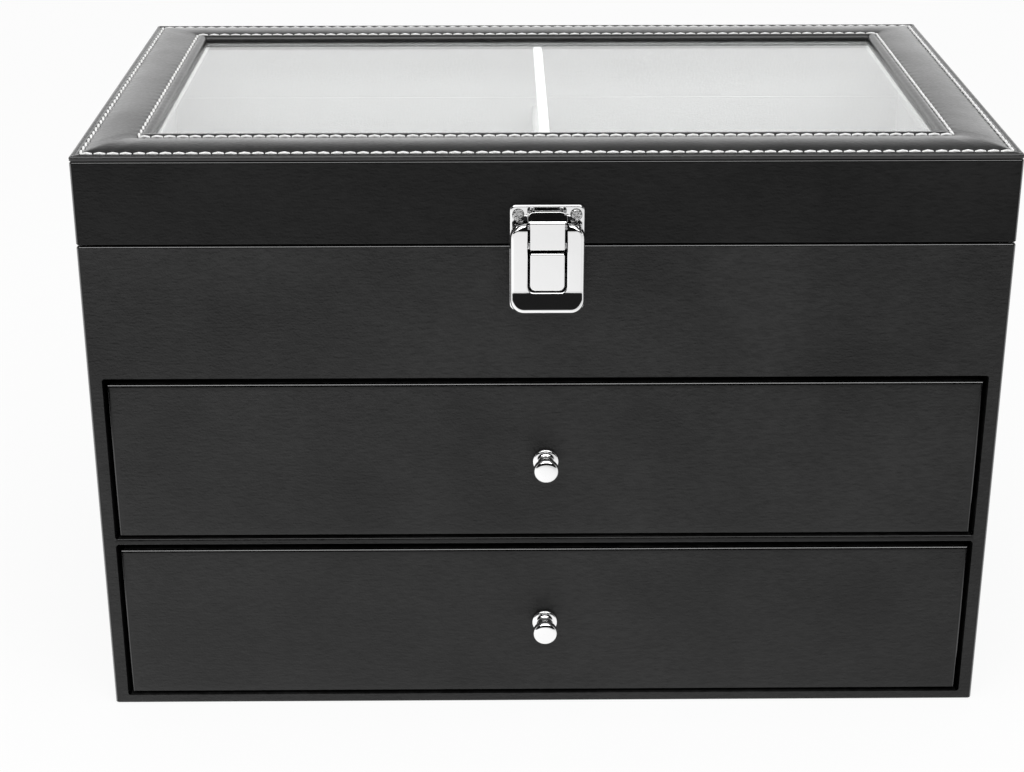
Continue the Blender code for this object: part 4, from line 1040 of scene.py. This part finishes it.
def makeScrew(node, body, outward, shape):
    low, high = inMillimetres(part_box(node))
    middle = (low + high) / 2
    seat = low.y + shape["seat"] if outward < 0 else high.y - shape["seat"]
    radius, top, shank, length = shape["radius"], shape["height"], shape["shank"], shape["length"]
    profile = [(0, top)] + [(radius * share, top - drop) for share, drop in shape["head"]]
    profile += [(radius, 0.0), (shank, 0.0), (shank, 1 - length), (0, -length)]
    bm = turnProfile([(across, 0, height) for across, height in profile], (0, 0, 1), shape["steps"])
    bmesh.ops.recalc_face_normals(bm, faces=bm.faces)
    turn = Matrix.Rotation(math.radians(random.uniform(0, 90)), 4, "Z")
    aim = Matrix.Rotation(math.radians(-90 * outward), 4, "X")
    place = Matrix.Translation((middle.x, seat, middle.z)) @ aim @ turn
    piece = finishPiece(bm, node.replace("_screw", "Screw"), screwSteel, body, (node,))
    cutter = bmesh.new()
    for span, width in ((shape["span"], shape["cross"]), (shape["cross"], shape["span"])):
        addTo(cutter, startBox((-span / 2, -width / 2, top - shape["depth"]), (span / 2, width / 2, top + 1)))
    tool = bpy.data.meshes.new("tool")
    bmesh.ops.scale(cutter, vec=(toMetres,) * 3, verts=cutter.verts)
    cutter.to_mesh(tool)
    cutter.free()
    blade = bpy.data.objects.new("blade", tool)
    bpy.context.scene.collection.objects.link(blade)
    cut = piece.modifiers.new("cross", "BOOLEAN")
    cut.operation = "DIFFERENCE"
    cut.object = blade
    cut.use_self = True
    piece.modifiers.move(1, 0)
    mesh = bpy.data.meshes.new_from_object(piece.evaluated_get(bpy.context.evaluated_depsgraph_get()))
    piece.modifiers.clear()
    piece.data = mesh
    bpy.data.objects.remove(blade)
    place.translation = place.translation * toMetres
    mesh.transform(place)


bodyOf = {node: body for body, nodes in frame["record"]["behaviour"]["bodies"].items() for node in nodes}
for node in sorted(bodyOf):
    if "_screw_" in node:
        makeScrew(node, bodyOf[node], -1 if node.startswith("latch") else 1, screwShape)
print("latch and screws made")


# hinges: two leaves each, with rounded corners and rolled knuckles

hingeShape = dict(half=14.0, near=96.8, sheet=1.0, axisY=99.0, axisZ=190.0, radius=2.2, start=2.5, reach=13.0,
                  corner=2.0, edge=0.3, gap=0.15, place=110.0, strapEnd=0.05, strapLow=0.3, strapLap=0.5)


def makeLeaf(name, node, body, middle, way, knuckles):
    s = hingeShape
    near, far, start = s["near"], s["near"] + s["sheet"], s["start"]
    end = start + s["reach"]
    bm = startBox((-s["half"], near, start), (s["half"], far, end))
    corners = [edge for edge in bm.edges if runsAlong(edge, 1) and edge.verts[0].co.z > end - 0.1]
    roundEdges(bm, corners, s["corner"], 6)
    roundEdges(bm, edgesWhere(bm, lambda co: co.y > far - hair, 50), s["edge"], 2)
    for left, right in knuckles:
        addTo(bm, rodAlongX(left, right, s["radius"], s["axisY"], 0, 40))
        strapLow = (left + s["strapEnd"], near, s["strapLow"])
        addTo(bm, startBox(strapLow, (right - s["strapEnd"], far, start + s["strapLap"])))
    for vert in bm.verts:
        vert.co = (vert.co.x + middle, vert.co.y, s["axisZ"] + way * vert.co.z)
    finishPiece(bm, name, chrome, body, (node,))


h, gap = hingeShape["half"], hingeShape["gap"]
third = 2 * h / 3
outer = [(-h, -h + third - gap), (h - third + gap, h)]
inner = [(-h + third + gap, h - third - gap)]
for label, side in (("left", -1), ("right", 1)):
    middle = side * hingeShape["place"]
    makeLeaf(f"{label}HingeCaseLeaf", f"hinge_{label}_case_leaf", "case", middle, -1, outer)
    makeLeaf(f"{label}HingeLidLeaf", f"hinge_{label}_lid_leaf", "lid", middle, 1, inner)
print("hinges made")


# studio: pale floor, white surroundings, soft lamps, camera

# the floor; its pool of light runs from near to far and from left to right, each given as place and strength
stageLook = dict(floor="#fbfbfb", size=6.0, drop=0.0002, seenShare=0.9, near=(-0.25, 1.12), far=(-0.9, 0.8),
                 left=(-0.2, 1.14), right=(0.2, 0.86))
floorMaterial = bpy.data.materials.new("paleFloor")
floorMaterial.use_nodes = True
tree = floorMaterial.node_tree
tree.nodes.clear()
ray = addNode(tree, "ShaderNodeLightPath")
matt = addNode(tree, "ShaderNodeBsdfDiffuse", {"Color": hexColour(stageLook["floor"])})
spot = addNode(tree, "ShaderNodeNewGeometry")
spotParts = addNode(tree, "ShaderNodeSeparateXYZ", None, {"Vector": (spot, "Position")})


def runAcross(output, begin, end):
    return mapRange(tree, spotParts, output, (begin[1], end[1]), (begin[0], end[0]))


# in reflections the pool of light on the floor fades towards the front, and is a little brighter on the left
pool = runAcross("Y", stageLook["near"], stageLook["far"])
leftward = runAcross("X", stageLook["left"], stageLook["right"])
uneven = addMath(tree, "MULTIPLY", (pool, "Result"), (leftward, "Result"))
poolOrPlain = addNode(tree, "ShaderNodeMix", {"data_type": "FLOAT"},
                      {"Factor": (ray, "Is Glossy Ray"), 3: (uneven, "Value")})
poolOrPlain.inputs[2].default_value = 1.0
glow = addNode(tree, "ShaderNodeEmission", {"Color": hexColour("#ffffff")}, {"Strength": (poolOrPlain, 0)})
seen = addMath(tree, "MAXIMUM", (ray, "Is Camera Ray"), (ray, "Is Glossy Ray"))
seenAll = addMath(tree, "MAXIMUM", (seen, "Value"), (ray, "Is Transmission Ray"))
share = addMath(tree, "MULTIPLY", (seenAll, "Value"), stageLook["seenShare"])
both = addNode(tree, "ShaderNodeMixShader", None,
               {0: (share, "Value"), 1: (matt, "BSDF"), 2: (glow, "Emission")})
addNode(tree, "ShaderNodeOutputMaterial", None, {"Surface": (both, "Shader")})

bm = bmesh.new()
bmesh.ops.create_grid(bm, x_segments=1, y_segments=1, size=stageLook["size"] / 2)
mesh = bpy.data.meshes.new("floor")
bm.to_mesh(mesh)
bm.free()
floor = bpy.data.objects.new("floor", mesh)
floor.location = (0, 0, -stageLook["drop"])
mesh.materials.append(floorMaterial)
bpy.context.scene.collection.objects.link(floor)

# The surroundings are white low down, as a light tent is, and a little darker overhead; in front the tent is
# open, and dark from the floor's edge to its roof. Heights are sines of the angle above the floor.
worldLook = dict(ambient=0.45, overhead=0.24, bandTop=(0.22, 0.52), openLow=(-0.01, 0.06), openTop=(0.6, 0.8),
                 openSide=(0.05, -0.3), dark=0.012, bounces=1.5)
world = bpy.data.worlds.new("studio")
bpy.context.scene.world = world
world.use_nodes = True
tree = world.node_tree
tree.nodes.clear()
ray = addNode(tree, "ShaderNodeLightPath")
coords = addNode(tree, "ShaderNodeTexCoord")
parts = addNode(tree, "ShaderNodeSeparateXYZ", None, {"Vector": (coords, "Generated")})


def fade(output, ends):
    edges = {"From Min": ends[0], "From Max": ends[1], "interpolation_type": "SMOOTHSTEP"}
    return addNode(tree, "ShaderNodeMapRange", edges, {"Value": (parts, output)})


def background(strength):
    return addNode(tree, "ShaderNodeBackground", {"Color": hexColour("#ffffff"), "Strength": strength})


roof = mapRange(tree, fade("Z", worldLook["bandTop"]), "Result", (1.0, worldLook["overhead"]))
openLow = fade("Z", worldLook["openLow"])
openTop = fade("Z", worldLook["openTop"][::-1])
openSide = fade("Y", worldLook["openSide"])
opening = addMath(tree, "MULTIPLY", (openLow, "Result"), (openSide, "Result"))
doorway = addMath(tree, "MULTIPLY", (opening, "Value"), (openTop, "Result"))
shade = mapRange(tree, doorway, "Value", (1.0, worldLook["dark"]))
tone = addMath(tree, "MULTIPLY", (roof, "Result"), (shade, "Result"))
plain, white, glossy = background(worldLook["ambient"]), background(1.0), background(1.0)
tree.links.new(tone.outputs["Value"], glossy.inputs["Strength"])
first = addNode(tree, "ShaderNodeMixShader", None,
                {0: (ray, "Is Glossy Ray"), 1: (plain, "Background"), 2: (glossy, "Background")})
# light that bounces out through the glass finds the plain level, and only what is seen through it is white
direct = addMath(tree, "LESS_THAN", (ray, "Diffuse Depth"), worldLook["bounces"])
through = addMath(tree, "MULTIPLY", (ray, "Is Transmission Ray"), (direct, "Value"))
sight = addMath(tree, "MAXIMUM", (ray, "Is Camera Ray"), (through, "Value"))
last = addNode(tree, "ShaderNodeMixShader", None,
               {0: (sight, "Value"), 1: (first, "Shader"), 2: (white, "Background")})
addNode(tree, "ShaderNodeOutputWorld", None, {"Surface": (last, "Shader")})


def addLamp(name, place, aim, size, power):
    light = bpy.data.lights.new(name, "AREA")
    light.shape = "RECTANGLE"
    light.size, light.size_y = size
    light.energy = power
    lamp = bpy.data.objects.new(name, light)
    lamp.location = place
    lamp.rotation_euler = (Vector(aim) - Vector(place)).to_track_quat("-Z", "Y").to_euler()
    lamp.visible_camera = False
    bpy.context.scene.collection.objects.link(lamp)


# each lamp: place, what it points at, width and height in metres, watts
lamps = dict(topSoftbox=((0, -0.4, 1.35), (0, 0, 0.15), (1.4, 0.9), 6.5),
             frontSoftbox=((0, -1.0, 1.25), (0, -0.1, 0.2), (2.2, 0.4), 9),
             backSoftbox=((0, 1.6, 0.55), (0, 0, 0.22), (3.2, 0.7), 4.2))
for name, (place, aim, size, power) in lamps.items():
    addLamp(name, place, aim, size, power)

# the camera as fitted to the box's corners; lens and sensor are in millimetres, angles in degrees
cameraView = dict(sensor=36, lens=67.864, shift=-0.0934, near=0.01, place=(-0.01787, -0.74185, 0.42539),
                  angles=(68.614, 0.032, -0.492))
cameraData = bpy.data.cameras.new("camera")
cameraData.sensor_width = cameraView["sensor"]
cameraData.lens = cameraView["lens"]
cameraData.shift_y = cameraView["shift"]
cameraData.clip_start = cameraView["near"]
camera = bpy.data.objects.new("camera", cameraData)
camera.location = cameraView["place"]
camera.rotation_euler = [math.radians(angle) for angle in cameraView["angles"]]
bpy.context.scene.collection.objects.link(camera)
bpy.context.scene.camera = camera
bpy.context.scene.view_settings.view_transform = "Standard"
print("studio set")
